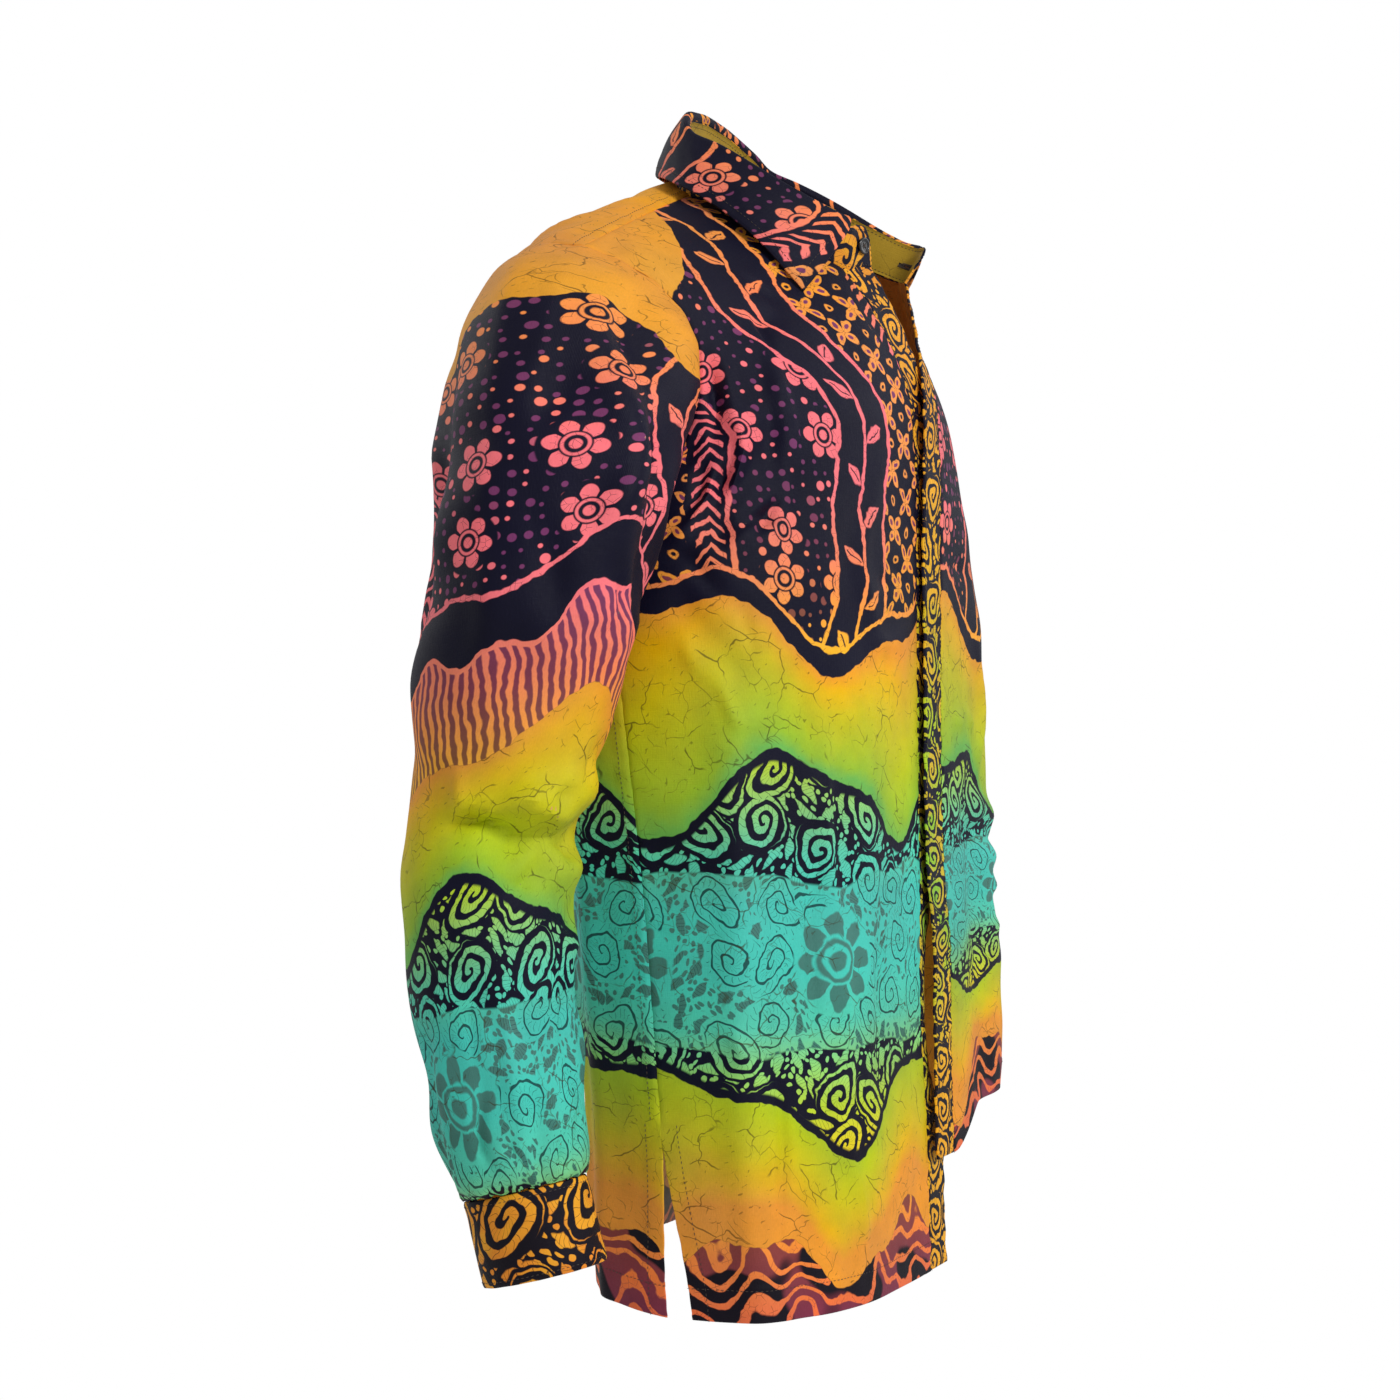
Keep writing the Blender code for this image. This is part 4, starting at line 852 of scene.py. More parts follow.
# ---------------- bands
def band_panel(left, skins):
    """One front band. It gives its sewing lines."""
    rows = front_rows(left)[: NECK_CORNER_ROW + 1]
    seam = [row.inner for row in rows]
    free = [(BAND_WIDTH / 2, s[1] + (0.0 if left else BAND_TUCK), s[2]) for s in seam]
    for i, place in (LEFT_BAND_EDGE if left else RIGHT_BAND_EDGE).items():
        free[i] = place
    if left:
        x, y, z = free[UNDERARM_ROW + 1]
        free[UNDERARM_ROW + 1] = (x, y - FLY_STEP, z)

    def form(a, t):
        p = curve(free, t) * (1 - a[..., None]) + curve(seam, t) * a[..., None]
        curl = fly_shift(p[..., 2], 0.0)
        p[..., 0] -= curl
        if not left:
            p[..., 1] += curl * (1 - a) ** 2 * FLY_CURL
        return p

    lengths = column_lengths(form, len(rows), 0.5)
    near = np.array((0.0, 0.0005, 0.0012, 0.0022, 0.0034)) / BAND_WIDTH
    a_values = np.concatenate((near, np.linspace(0.145, 0.855, 8), 1 - near[::-1]))
    a, t = np.meshgrid(a_values, spaced(lengths, (0.009, 0.02, 7.95, 7.98)))
    base = form(a, t)
    v = arc(base, 0, [1, 2])
    if left:
        base = hitched(mirrored(base), np.zeros_like(a), True)
    from_edge = arc(base, 1)
    from_seam = from_edge[:, -1:] - from_edge
    side = 1.0 if left else -1.0
    depth = dip(from_edge, 0.0009, 0.0009) + dip(from_seam, 0.0007, 0.0009)
    if left:
        depth += 0.0005 * (1 - ease((from_edge - 0.0016) / 0.0012))
    depth += pucker(from_edge - 0.003, v, 0.8) + pucker(from_seam - 0.003, v, 2.2)
    depth += 0.35 * rumple(from_edge, v, 61 if left else 67)
    points, normals = raised(base, depth, side)
    cut = np.stack((side * (BAND_WIDTH / 2 - from_edge), v + PRINT_LOW), -1)
    hand = hand_name(left)
    flat = (0.034, 0.604) if left else (0.035, 0.665)
    sew(f"{hand}_band", f"cloth_band_{hand}", points, normals, FIRM_CLOTH, cut, skins, flat,
        "hung")
    paths = [at_distance(points, normals, from_seam, 0.0018, 1)]
    if left:
        paths.append(at_distance(points, normals, from_edge, 0.0022, 1))
    return paths


# ---------------- sleeves
def ring_point(ring, angle):
    """A point on a sleeve ring: 0 is towards the body and a quarter turn is the front."""
    z, x, y, half_side, half_fore, tilt = (ring[..., k] for k in range(6))
    tilt = np.radians(tilt)
    fore = half_fore * np.sin(angle)
    return np.stack(
        (x + half_side * np.cos(angle), y - fore * np.cos(tilt), z + fore * np.sin(tilt)), -1
    )


def ring_values(t):
    return curve([tuple(r) for r in SLEEVE], t)


def armhole(angles):
    """Points of the right armhole at these angles, from the underarm up the front and back."""
    rows = front_rows(False)
    front = curve([r.outer for r in rows], np.arange(UNDERARM_ROW, SHOULDER_ROW, 0.02),
                  (UNDERARM_ROW,))
    yoke = curve([r.outer for r in YOKE], np.arange(0.0, 5.0, 0.02))
    back = curve([r.outer for r in back_rows()], np.arange(BACK_TOP_ROW, UNDERARM_ROW, -0.02),
                 (UNDERARM_ROW,))
    loop = np.concatenate((front, yoke, back, front[:1]))
    lengths = arc(loop, 0)
    top = len(front) + 50
    turns = np.where(
        lengths <= lengths[top],
        math.pi * lengths / lengths[top],
        math.pi * (1 + (lengths - lengths[top]) / (lengths[-1] - lengths[top])),
    )
    wanted = np.mod(angles, 2 * math.pi)
    return np.stack([np.interp(wanted, turns, loop[:, k]) for k in range(3)], -1)


def sleeve_form():
    """Smooth points of the right sleeve from the armhole to the cuff, and its row numbers."""
    angles = np.arange(SLEEVE_COLUMNS) * 2 * math.pi / SLEEVE_COLUMNS
    start = armhole(angles)
    end = ring_point(ring_values(np.zeros(1)), angles)
    up = ((1 - np.cos(angles)) / 2)[:, None]
    lead = np.array(CAP_LEAD_UNDERARM) * (1 - up) + np.array(CAP_LEAD_TOP) * up
    swing = np.where(angles < math.pi, CAP_SWING_FORE, CAP_SWING_BACK)
    lead[:, 1] -= swing * np.sin(angles)
    lead = unit(lead)
    behind = np.maximum(0.0, -np.sin(angles))[:, None]
    reach = np.linalg.norm(end - start, axis=1)[:, None]
    reach = reach * (CAP_REACH + (CAP_REACH_BACK - CAP_REACH) * behind)
    fall = np.array(CAP_FALL) * (1 - behind) + np.array(CAP_FALL_BACK) * behind
    p1, p2 = start + lead * reach, end + fall * reach
    s = np.concatenate(((0, 0.007, 0.016, 0.03, 0.05), np.linspace(0.08, 1, 30)[:-1]))
    cap_rows = CAP_STEPS * s
    s = s[:, None, None]
    cap = (start * (1 - s) ** 3 + p1 * (3 * s * (1 - s) ** 2) + p2 * (3 * s * s * (1 - s))
           + end * s**3)
    t_values = spaced(RING_LENGTHS, (7.95,))
    rings = ring_point(ring_values(t_values)[:, None, :], angles)
    ring_rows = CAP_STEPS + np.interp(t_values, range(len(RING_STEPS)), RING_STEPS)
    return np.concatenate((cap, rings)), np.concatenate((cap_rows, ring_rows)), angles


def as_folds(folds, radius):
    """Sleeve folds with metres round the sleeve instead of degrees."""
    return [
        f._replace(across_a=math.radians(f.across_a) * radius,
                   across_b=math.radians(f.across_b) * radius)
        for f in folds
    ]


def sleeve_panels(skins, strip_skin):
    """Both sleeves and their plackets. The left ones are the right ones' mirror images, with
    creases of their own. It gives the plackets' sewing lines."""
    base, rows, angles = sleeve_form()
    radius = (SLEEVE[0].half_side + SLEEVE[0].half_fore) / 2
    z = base[..., 2]
    angle = np.broadcast_to(angles, z.shape)
    u = angle * radius
    along = arc(base, 0)
    v = along[-1:] - along
    fade = (ease(rows / 3) * ease((rows[-1] - rows) / 1.5))[:, None]
    folded = fold_depth(as_folds(SLEEVE_FOLDS, radius), u, z) * fade
    coarse, coarse_out = raised(base, folded, 1.0, True)
    calm = ease(along / 0.02) * ease(v / 0.012)
    sewn = seam_step(along, 0.0) + 1.4 * pucker(along, u, 0.6) + 1.6 * pucker(v, u, 2.0)
    sewn += seam_step(v, 0.0)
    wide = np.concatenate((u, np.full((len(u), 1), 2 * math.pi * radius)), axis=1)
    tall = np.concatenate((v, v[:, :1]), axis=1) + SLEEVE_PRINT_LOW
    paths = []
    for left in (False, True):
        shift = 9.0 if left else 0.0
        creases = [f._replace(across_a=f.across_a + shift, across_b=f.across_b - shift)
                   for f in SLEEVE_CREASES]
        depth = calm * CREASE_STRENGTH * fold_depth(as_folds(creases, radius), u, z, 1.0)
        depth += calm * around_rumple(angle, z, 83 if left else 79) + sewn
        points = coarse + coarse_out * depth[..., None]
        normals = face_out(points, 1.0, True)
        if left:
            points, normals = mirrored(points), mirrored(normals)
        cut = np.stack(((1.0 if left else -1.0) * (wide + SLEEVE_PRINT), tall), -1)
        hand = hand_name(left)
        sew(f"{hand}_sleeve", f"cloth_sleeve_{hand}", points, normals, CLOTH, cut, skins,
            (0.400, 0.610), "hung", 0.186, closed=True)
        paths += placket(points, normals, rows, angles, cut, hand, strip_skin)
    return paths


def around_rumple(angle, z, seed):
    """Rumples of a tube: the waves close up after one turn."""
    rng = np.random.default_rng(seed)
    total = np.zeros_like(z)
    for turns, length, depth in ((1, 0.16, 0.0010), (2, 0.11, 0.0009), (3, 0.08, 0.0005),
                                 (4, 0.06, 0.0004), (6, 0.05, 0.0002)):
        for _ in range(2):
            k = 2 * math.pi / (length * rng.uniform(0.8, 1.3)) * rng.choice((-1, 1))
            total += depth * np.sin(turns * angle + k * z + rng.uniform(0, 2 * math.pi))
    return total


def placket(points, normals, rows, angles, cut, hand, skin):
    """The band over the sleeve's slit, on the sleeve's own form."""
    columns = np.flatnonzero(np.abs(angles - math.radians(PLACKET_ANGLE)) < PLACKET_HALF_TURN)
    low, high = PLACKET_STEPS
    picked = np.ix_(np.flatnonzero((rows > low) & (rows < high)), columns)
    facing = normals[picked]
    lifted = points[picked] + facing * (CLOTH + 0.0002)
    across = np.linspace(0, 1, len(columns)) * np.ones((len(facing), 1))
    rim = np.minimum(across, 1 - across) * 0.018
    lifted = lifted + facing * dip(rim, 0.0004, 0.0012)[..., None]
    sew(f"{hand}_sleeve_placket", f"cloth_placket_{hand}", lifted, facing, CLOTH,
        cut[picked] * (0.5, 1.0), (skin, skin), (0.020, 0.135), "hung")
    whole, inner = slice(None), slice(1, -1)
    return lines_at(lifted, facing, (whole, 1), (whole, -2), (1, inner), (6, inner))


def cuff_form(turn, down, left):
    """Points of a cuff. turn runs from 0 at the inner end to 1 at the outer end."""
    lap = CUFF_OVERLAP / CUFF_RADIUS
    angle = math.radians(PLACKET_ANGLE) - lap / 2 + turn * (2 * math.pi + lap)
    past_lap = turn * (2 * math.pi + lap) / lap - 1.0
    tuck = (CUFF_WALL + 3 * SEAM_GAP) * (1 - ease(past_lap / 1.5))
    end = SLEEVE[-1]
    tilt = math.radians(CUFF_TILT)
    same = np.ones_like(turn)
    ring = np.stack((end.z * same, end.x + CUFF_DRIFT * down, end.y * same,
                     CUFF_HALF_SIDE - tuck, CUFF_HALF_FORE - tuck, CUFF_TILT * same), -1)
    axis = np.array((0.0, -math.sin(tilt), -math.cos(tilt)))
    points = ring_point(ring, angle) + axis * (2 * SEAM_GAP + CUFF_LENGTH * down)[..., None]
    return mirrored(points) if left else points


def cuff_panels(skin):
    """Both cuffs. It gives their sewing lines."""
    length = 2 * math.pi * CUFF_RADIUS + CUFF_OVERLAP
    near = np.array((0.0, 0.0006, 0.0016, 0.003))
    turns = np.concatenate((near / length, np.linspace(0.02, 0.98, 88), 1 - near[::-1] / length))
    downs = np.concatenate((near / CUFF_LENGTH, np.linspace(0.1, 0.9, 13),
                            1 - near[::-1] / CUFF_LENGTH))
    turn, down = np.meshgrid(turns, downs)
    u, v = turn * length, (1 - down) * CUFF_LENGTH
    edge = np.minimum(np.minimum(u, length - u), np.minimum(v, CUFF_LENGTH - v))
    paths = []
    for left in (False, True):
        outward = -1.0 if left else 1.0
        base = cuff_form(turn, down, left)
        depth = dip(edge) + 0.5 * pucker(edge - 0.003, u + v, 1.1)
        depth += 0.30 * rumple(u, v, 91 if left else 89) * ease(edge / 0.008)
        points, normals = raised(base, depth, outward)
        cut = np.stack((outward * u + CUFF_PRINT, v + CUFF_PRINT_LOW), -1)
        hand = hand_name(left)
        sew(f"{hand}_cuff", f"cloth_cuff_{hand}", points, normals, FIRM_CLOTH, cut, (skin, skin),
            (0.250, 0.051), "folded")
        paths += lines_inside(points, normals)
    return paths


# ---------------- collar
def neck_edge():
    """The neck edge's places from the right band's free edge round the back to the left one."""
    def half(left):
        rows = front_rows(left)
        seam = np.array(rows[NECK_CORNER_ROW].inner)
        free = np.array((LEFT_BAND_EDGE if left else RIGHT_BAND_EDGE)[NECK_CORNER_ROW])
        points = [free, (free + seam) / 2, seam]
        inner = [r.inner for r in rows]
        points += list(curve(inner, np.array((9.0, 10.0, 10.5, 11.0)), (NECK_CORNER_ROW,)))
        inner = [r.inner for r in YOKE]
        steps = np.array((1.0, 2.0, 2.5, 3.0))
        points += list(curve(inner, steps, (CENTRE_BACK_ROW,)))
        points = np.array(points)
        return mirrored(points) if left else points

    return np.concatenate((half(False), half(True)[-2::-1]))


def collar_frames(points, places):
    """Base points, directions and share of the length at each place of the neck edge."""
    last = len(points) - 1.0
    ahead = curve(points, np.minimum(places + 0.5, last))
    along = ahead - curve(points, np.maximum(places - 0.5, 0.0))
    out = unit(np.stack((-along[:, 1], along[:, 0], np.zeros(len(places))), -1))
    tops = curve(points, places)
    lengths = arc(tops, 0)
    share = lengths / lengths[-1]
    back = ease(1 - np.abs(share - 0.5) * 2)
    height = STAND_FRONT_HEIGHT + (STAND_BACK_HEIGHT - STAND_FRONT_HEIGHT) * back
    tip_right, tip_back, tip_left = STAND_TIP
    lean = np.radians(
        np.where(
            share < 0.5,
            tip_right + (tip_back - tip_right) * ease(share * 2),
            tip_back + (tip_left - tip_back) * ease(share * 4 - 3),
        )
    )[:, None]
    up = np.array((0.0, 0.0, 1.0))
    rise = up * np.cos(lean) + out * np.sin(lean)
    side = out * np.cos(lean) - up * np.sin(lean)
    return tops, tops + rise * height[:, None], out, side, rise, lengths


def collar_panels(skins, leaf_skin):
    """The stand and the leaf. It gives their sewing lines, and those of the buttonhole."""
    points = neck_edge()
    last = len(points) - 1.0
    ends = np.array((0.0, 0.02, 0.05, 0.09, 0.15))
    places = np.concatenate((ends, np.arange(0.25, last - 0.2, 0.125), last - ends[::-1]))
    base, tops, *_, lengths = collar_frames(points, places)
    levels = np.array((0.0, 0.02, 0.05, 0.09, 0.16, 0.28, 0.41, 0.50, 0.62, 0.74, 0.85, 0.91,
                       0.95, 0.98, 1.0))
    low = base + np.array((0.0, 0.0, 2 * SEAM_GAP - 0.0015))
    from_end = np.maximum(0.0, STAND_CORNER - np.minimum(lengths, lengths[-1] - lengths))
    corner = STAND_CORNER - np.sqrt(STAND_CORNER**2 - from_end**2)
    corner = corner / np.linalg.norm(tops - base, axis=1)
    s = levels[:, None, None] * (1 - corner)[:, None]
    grid = low * (1 - s) + tops * s
    for place, far in ((1.0, places), (last - 1.0, last - places)):
        low_at, top_at = (
            np.array([np.interp(place, places, line[:, k]) for k in range(3)])
            for line in (low, tops)
        )
        near = np.maximum(0.0, 1 - far / 0.5)[:, None]
        grid = grid + (low_at * (1 - s) + top_at * s - grid) * STAND_END_CUT * s * s * near
    u = np.broadcast_to(lengths, grid.shape[:2])
    v = arc(grid, 0)
    height = v[-1:]
    edge = np.minimum(np.minimum(u, lengths[-1] - u), np.minimum(v, height - v))
    depth = dip(edge) + 0.35 * rumple(u, v, 97) * ease(edge / 0.01)
    grid, normals = raised(grid, depth, -1.0)
    far_end = lengths[-1] - u[:-1, :-1]
    middle = np.abs((v[:-1, :-1] + v[1:, 1:]) / 2 / height[:, :-1] - 0.45)
    slot = (far_end > BUTTONHOLE[0]) & (far_end < BUTTONHOLE[1]) & (middle < 0.045)
    cut = np.stack((u + STAND_PRINT, v + STAND_PRINT_LOW), -1)
    sew("collar_stand", "cloth_stand", grid, normals, FIRM_CLOTH, cut, skins, (0.455, 0.040),
        "folded", 0.0150, gaps=slot)
    paths = lines_inside(grid, normals)
    paths += [(p - n * FIRM_CLOTH, -n) for p, n in paths]
    rows, columns = np.nonzero(slot)
    low, high, first, last = rows.min(), rows.max() + 1, columns.min(), columns.max() + 1
    rim = [(low, k) for k in range(first, last)] + [(high, k) for k in range(last, first, -1)]
    rim = tuple(np.array(rim + [(low, first)]).T)
    slot_paths = [(grid[rim], normals[rim]), (grid[rim] - normals[rim] * FIRM_CLOTH, -normals[rim])]
    return paths + leaf_panel(points, leaf_skin), slot_paths


def leaf_panel(points, skin):
    """The leaf rolls over the stand's top and falls. It gives its sewing lines."""
    last = len(points) - 1.0
    fine = np.linspace(0, last, 400)
    lengths = collar_frames(points, fine)[5]
    middle = lengths[-1] / 2
    reach = middle - LEAF_INSET
    near = np.array((0.0, 0.0007, 0.0016, 0.003))
    wanted = np.concatenate((middle - reach + near, np.linspace(middle - reach + 0.006,
                             middle + reach - 0.006, 110), (middle + reach - near)[::-1]))
    places = np.interp(wanted, lengths, fine)
    _, tops, out, side, rise, _ = collar_frames(points, places)
    along = np.abs(wanted - middle) / reach
    rows = np.interp(along, [e.along for e in LEAF_EDGE], range(len(LEAF_EDGE)))
    edge = curve([e[1:] for e in LEAF_EDGE], rows)
    shifted = mirrored(edge) + np.array(LEFT_LEAF_SHIFT) * along[:, None]
    edge = np.where((wanted > middle)[:, None], shifted, edge)
    line = [tops + side * o + rise * h for o, h in LEAF_ROLL]
    start = line[-1] + side * LEAF_CLEAR - rise * LEAF_DROP
    for share in LEAF_FALL:
        bulge = LEAF_BULGE * math.sin(math.pi * share)
        line.append(start * (1 - share) + edge * share + out * bulge)
    line = np.array(line)
    steps = np.concatenate((np.linspace(0, 4, 18), np.linspace(4.2, 6.85, 16),
                            (6.9, 6.94, 6.97, 7.0)))
    grid = curve(line.reshape(len(line), -1), steps).reshape(len(steps), -1, 3).swapaxes(0, 1)
    u = np.broadcast_to(wanted[:, None], grid.shape[:2])
    v = arc(grid, 1)
    from_low = v[:, -1:] - v
    from_end = np.minimum(u - wanted[0], wanted[-1] - u)
    rim = np.minimum(from_low, from_end)
    depth = dip(rim) + 0.5 * pucker(rim - 0.004, u + v, 0.3)
    calm = ease((steps - 3) / 1.5) * ease(rim / 0.012)
    depth += calm * (0.9 * rumple(u, v, 101) + fold_depth(LEAF_CREASES, u - middle, -from_low, 1.0))
    grid, normals = raised(grid, depth, -1.0)
    cut = np.stack((u + LEAF_PRINT, LEAF_PRINT_TOP - v), -1)
    sew("collar_leaf", "cloth_leaf", grid, normals, FIRM_CLOTH, cut, (skin, skin), (0.420, 0.056),
        "folded", 0.0225)
    low = at_distance(grid, normals, from_low, 0.0055, 1)
    ends = [at_distance(grid[:12], normals[:12], (u - wanted[0])[:12], 0.0055, 0),
            at_distance(grid[-12:], normals[-12:], (wanted[-1] - u)[-12:], 0.0055, 0)]
    hidden = steps > 4.6
    low = (low[0][2:-2], low[1][2:-2])
    ends = [(p[hidden][:-2], n[hidden][:-2]) for p, n in ends]
    return [low] + ends


# ---------------- buttons
def button_place(node):
    """Centre and way out of a button that the solids hold."""
    corners = np.array([v.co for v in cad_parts[node].data.vertices])
    centre = corners.mean(axis=0)
    axis = np.linalg.svd(corners - centre)[2][2]
    inside = np.array((0.0, 0.0, centre[2]))
    if "cuff" in node:
        wrist = SLEEVE[-1]
        inside = np.array((math.copysign(wrist.x, centre[0]), wrist.y, centre[2]))
    if axis @ (centre - inside) < 0:
        axis = -axis
    return Vector(centre), Vector(axis)


def build_button(node, plastic, thread):
    """A turned button with a rim, a dish and four holes, and the thread that holds it."""
    outline = bpy.data.curves.new("button_dish", "CURVE")
    outline.dimensions = "2D"
    outline.fill_mode = "BOTH"
    outline.resolution_u = 6
    arm = HOLE_PLACE * BUTTON_RADIUS
    holes = [(arm * sx, arm * sy) for sx in (-1, 1) for sy in (-1, 1)]
    add_circle(outline, (0.0, 0.0), BUTTON_RADIUS * DISH_SHARE)
    for hole in holes:
        add_circle(outline, hole, BUTTON_RADIUS * HOLE_SHARE)
    outline.extrude = BUTTON_THICKNESS * 0.30
    outline.bevel_depth = BUTTON_THICKNESS * 0.04
    outline.bevel_resolution = 1
    flat = placed("button_dish", outline)
    dish = evaluated(flat)
    bpy.data.objects.remove(flat)
    dish.transform(Matrix.Translation((0.0, 0.0, BUTTON_THICKNESS * 0.34)))
    pieces = [(dish, 0), (turned_mesh(BUTTON_PROFILE, BUTTON_SIDES), 0)]
    pieces += [(thread_mesh(holes[a], holes[b]), 1) for a, b in ((0, 3), (1, 2))]
    centre, out = button_place(node)
    seat = centre - out * (BUTTON_THICKNESS * 0.5)
    place = Matrix.Translation(seat) @ out.to_track_quat("Z", "Y").to_matrix().to_4x4()
    obj = joined(f"turned_{node}", pieces, place)
    obj.data.materials.append(plastic)
    obj.data.materials.append(thread)
    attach(obj, "root")
    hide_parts(node)


def add_circle(outline, centre, radius):
    """A round closed spline of four Bezier points."""
    spline = outline.splines.new("BEZIER")
    spline.bezier_points.add(3)
    spline.use_cyclic_u = True
    handle = radius * 0.5523
    for k, point in enumerate(spline.bezier_points):
        turn = k * math.pi / 2
        arm = Vector((math.cos(turn), math.sin(turn), 0.0))
        side = Vector((-math.sin(turn), math.cos(turn), 0.0))
        point.co = Vector((*centre, 0.0)) + arm * radius
        point.handle_left = point.co - side * handle
        point.handle_right = point.co + side * handle


def tube_faces(first, rows, sides):
    """Quads between rings of corners that follow each other from the first corner's number."""
    faces = []
    for p in range(first, first + rows * sides, sides):
        for k in range(sides):
            n = (k + 1) % sides
            faces.append((p + k, p + n, p + sides + n, p + sides + k))
    return faces


def turned_mesh(profile, sides):
    """A ring turned round its own axis, open at the dish and closed to a point behind."""
    turns = np.arange(sides) * 2 * math.pi / sides
    corners = [
        (BUTTON_RADIUS * r * math.cos(a), BUTTON_RADIUS * r * math.sin(a), BUTTON_THICKNESS * h)
        for r, h in profile[1:]
        for a in turns
    ]
    corners.append((0.0, 0.0, BUTTON_THICKNESS * profile[0][1]))
    faces = tube_faces(0, len(profile) - 2, sides)
    faces += [(len(corners) - 1, (k + 1) % sides, k) for k in range(sides)]
    return mesh_of("button_ring", corners, faces)


def thread_mesh(start, end):
    """Two strands side by side from hole to hole, bowed up over the dish."""
    corners, faces = [], []
    a, b = Vector((*start, 0.0)), Vector((*end, 0.0))
    way = (b - a).normalized()
    side = Vector((-way.y, way.x, 0.0))
    top = Vector((0.0, 0.0, 1.0))
    sides, steps = 6, 8
    for shift in (-STRAND_APART, STRAND_APART):
        first = len(corners)
        for i in range(steps + 1):
            s = i / steps
            height = BUTTON_THICKNESS * (0.50 + 0.36 * math.sin(math.pi * s) ** 0.6)
            middle = a.lerp(b, s) + side * shift + top * height
            for k in range(sides):
                turn = 2 * math.pi * k / sides
                arm = side * math.cos(turn) + top * math.sin(turn)
                corners.append(middle + arm * STRAND_RADIUS)
        faces += tube_faces(first, steps, sides)
        faces.append([first + k for k in range(sides - 1, -1, -1)])
        faces.append([first + steps * sides + k for k in range(sides)])
    return mesh_of("button_thread", corners, faces)


def joined(name, pieces, place):
    """One object from several meshes, each with the number of its material."""
    corners, faces, numbers = [], [], []
    for mesh, number in pieces:
        first = len(corners)
        corners += [place @ v.co for v in mesh.vertices]
        faces += [[first + v for v in p.vertices] for p in mesh.polygons]
        numbers += [number] * len(mesh.polygons)
        bpy.data.meshes.remove(mesh)
    mesh = mesh_of(name, corners, faces)
    mesh.polygons.foreach_set("material_index", numbers)
    mesh.shade_smooth()
    mesh.set_sharp_from_angle(angle=math.radians(50))
    return placed(name, mesh)


# ---------------- stitches
def group_socket(tree, name, kind, value, in_out="INPUT"):
    socket = tree.interface.new_socket(name=name, in_out=in_out, socket_type=kind)
    if value is not None:
        socket.default_value = value
    return socket


def stitch_tree():
    """Geometry Nodes: stitches of one size, evenly spaced along every edge chain."""
    tree = bpy.data.node_groups.new("stitch_row", "GeometryNodeTree")
    group_socket(tree, "Geometry", "NodeSocketGeometry", None)
    sizes = {"Pitch": STITCH_PITCH, "Length": STITCH_LENGTH, "Thread": THREAD, "Turn": 0.0}
    for name, value in sizes.items():
        group_socket(tree, name, "NodeSocketFloat", value)
    group_socket(tree, "Seed", "NodeSocketInt", 5)
    group_socket(tree, "Material", "NodeSocketMaterial", None)
    group_socket(tree, "Geometry", "NodeSocketGeometry", None, "OUTPUT")
    given = {s.name: Field(tree, s) for s in tree.nodes.new("NodeGroupInput").outputs}

    made = partial(made_of, tree)
    chain = made("GeometryNodeMeshToCurve", "Curve", Mesh=given["Geometry"])
    even = made("GeometryNodeResampleCurve", "Curve", {"mode": "LENGTH"}, Curve=chain,
                Length=given["Pitch"])
    points = add_node(tree, "GeometryNodeCurveToPoints", {"mode": "EVALUATED"}, Curve=even)
    ball = made("GeometryNodeMeshIcoSphere", "Mesh", Radius=0.5, Subdivisions=1)

    # The stitch lies along the row, turned about the cloth's normal by Turn.
    facing = made("GeometryNodeInputNamedAttribute", "Attribute", {"data_type": "FLOAT_VECTOR"},
                  Name="facing")
    lie = made("FunctionNodeAlignRotationToVector", "Rotation", {"axis": "Z"}, Vector=facing)
    run = made("FunctionNodeAlignRotationToVector", "Rotation", {"axis": "X", "pivot_axis": "Z"},
               Rotation=lie, Vector=Field(tree, points.outputs["Tangent"]))
    uneven = made("FunctionNodeRandomValue", 1, {"data_type": "FLOAT"}, Min=-UNEVEN_TURN,
                  Max=UNEVEN_TURN, Seed=given["Seed"])
    about = made("FunctionNodeAxisAngleToRotation", "Rotation", Axis=(0.0, 0.0, 1.0),
                 Angle=given["Turn"] + uneven)
    turn = made("FunctionNodeRotateRotation", "Rotation", {"rotation_space": "LOCAL"},
                Rotation=run, Rotate_By=about)
    size = made("ShaderNodeCombineXYZ", "Vector", X=given["Length"], Y=given["Thread"],
                Z=given["Thread"])
    rows = made("GeometryNodeInstanceOnPoints", "Instances", Instance=ball, Rotation=turn,
                Scale=size, Points=Field(tree, points.outputs["Points"]))
    real = made("GeometryNodeRealizeInstances", "Geometry", Geometry=rows)
    paint = made("GeometryNodeSetMaterial", "Geometry", Geometry=real,
                 Material=given["Material"])
    tree.links.new(paint.socket, tree.nodes.new("NodeGroupOutput").inputs["Geometry"])
    return tree


def stitched(name, tree, paths, material, slot_name, **sizes):
    """A row of stitches along each sewing line, made a plain mesh."""
    corners, facing, edges = [], [], []
    for points, normals in paths:
        if len(points) < 2:
            continue
        first = len(corners)
        corners += (points + normals * 0.00012).tolist()
        facing += normals.tolist()
        edges += [(first + i, first + i + 1) for i in range(len(points) - 1)]
    mesh = mesh_of(name, corners, [], edges)
    way = mesh.attributes.new("facing", "FLOAT_VECTOR", "POINT")
    way.data.foreach_set("vector", np.array(facing).reshape(-1))
    line = placed(f"{name}_line", mesh)
    modifier = line.modifiers.new("stitches", "NODES")
    modifier.node_group = tree
    values = {"Material": material, **sizes}
    for item in tree.interface.items_tree:
        if item.item_type == "SOCKET" and item.in_out == "INPUT" and item.name in values:
            modifier[item.identifier] = values[item.name]
    made = evaluated(line)
    line.modifiers.clear()
    bpy.data.objects.remove(line)
    made.shade_smooth()
    obj = placed(name, made)
    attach(obj, "root")


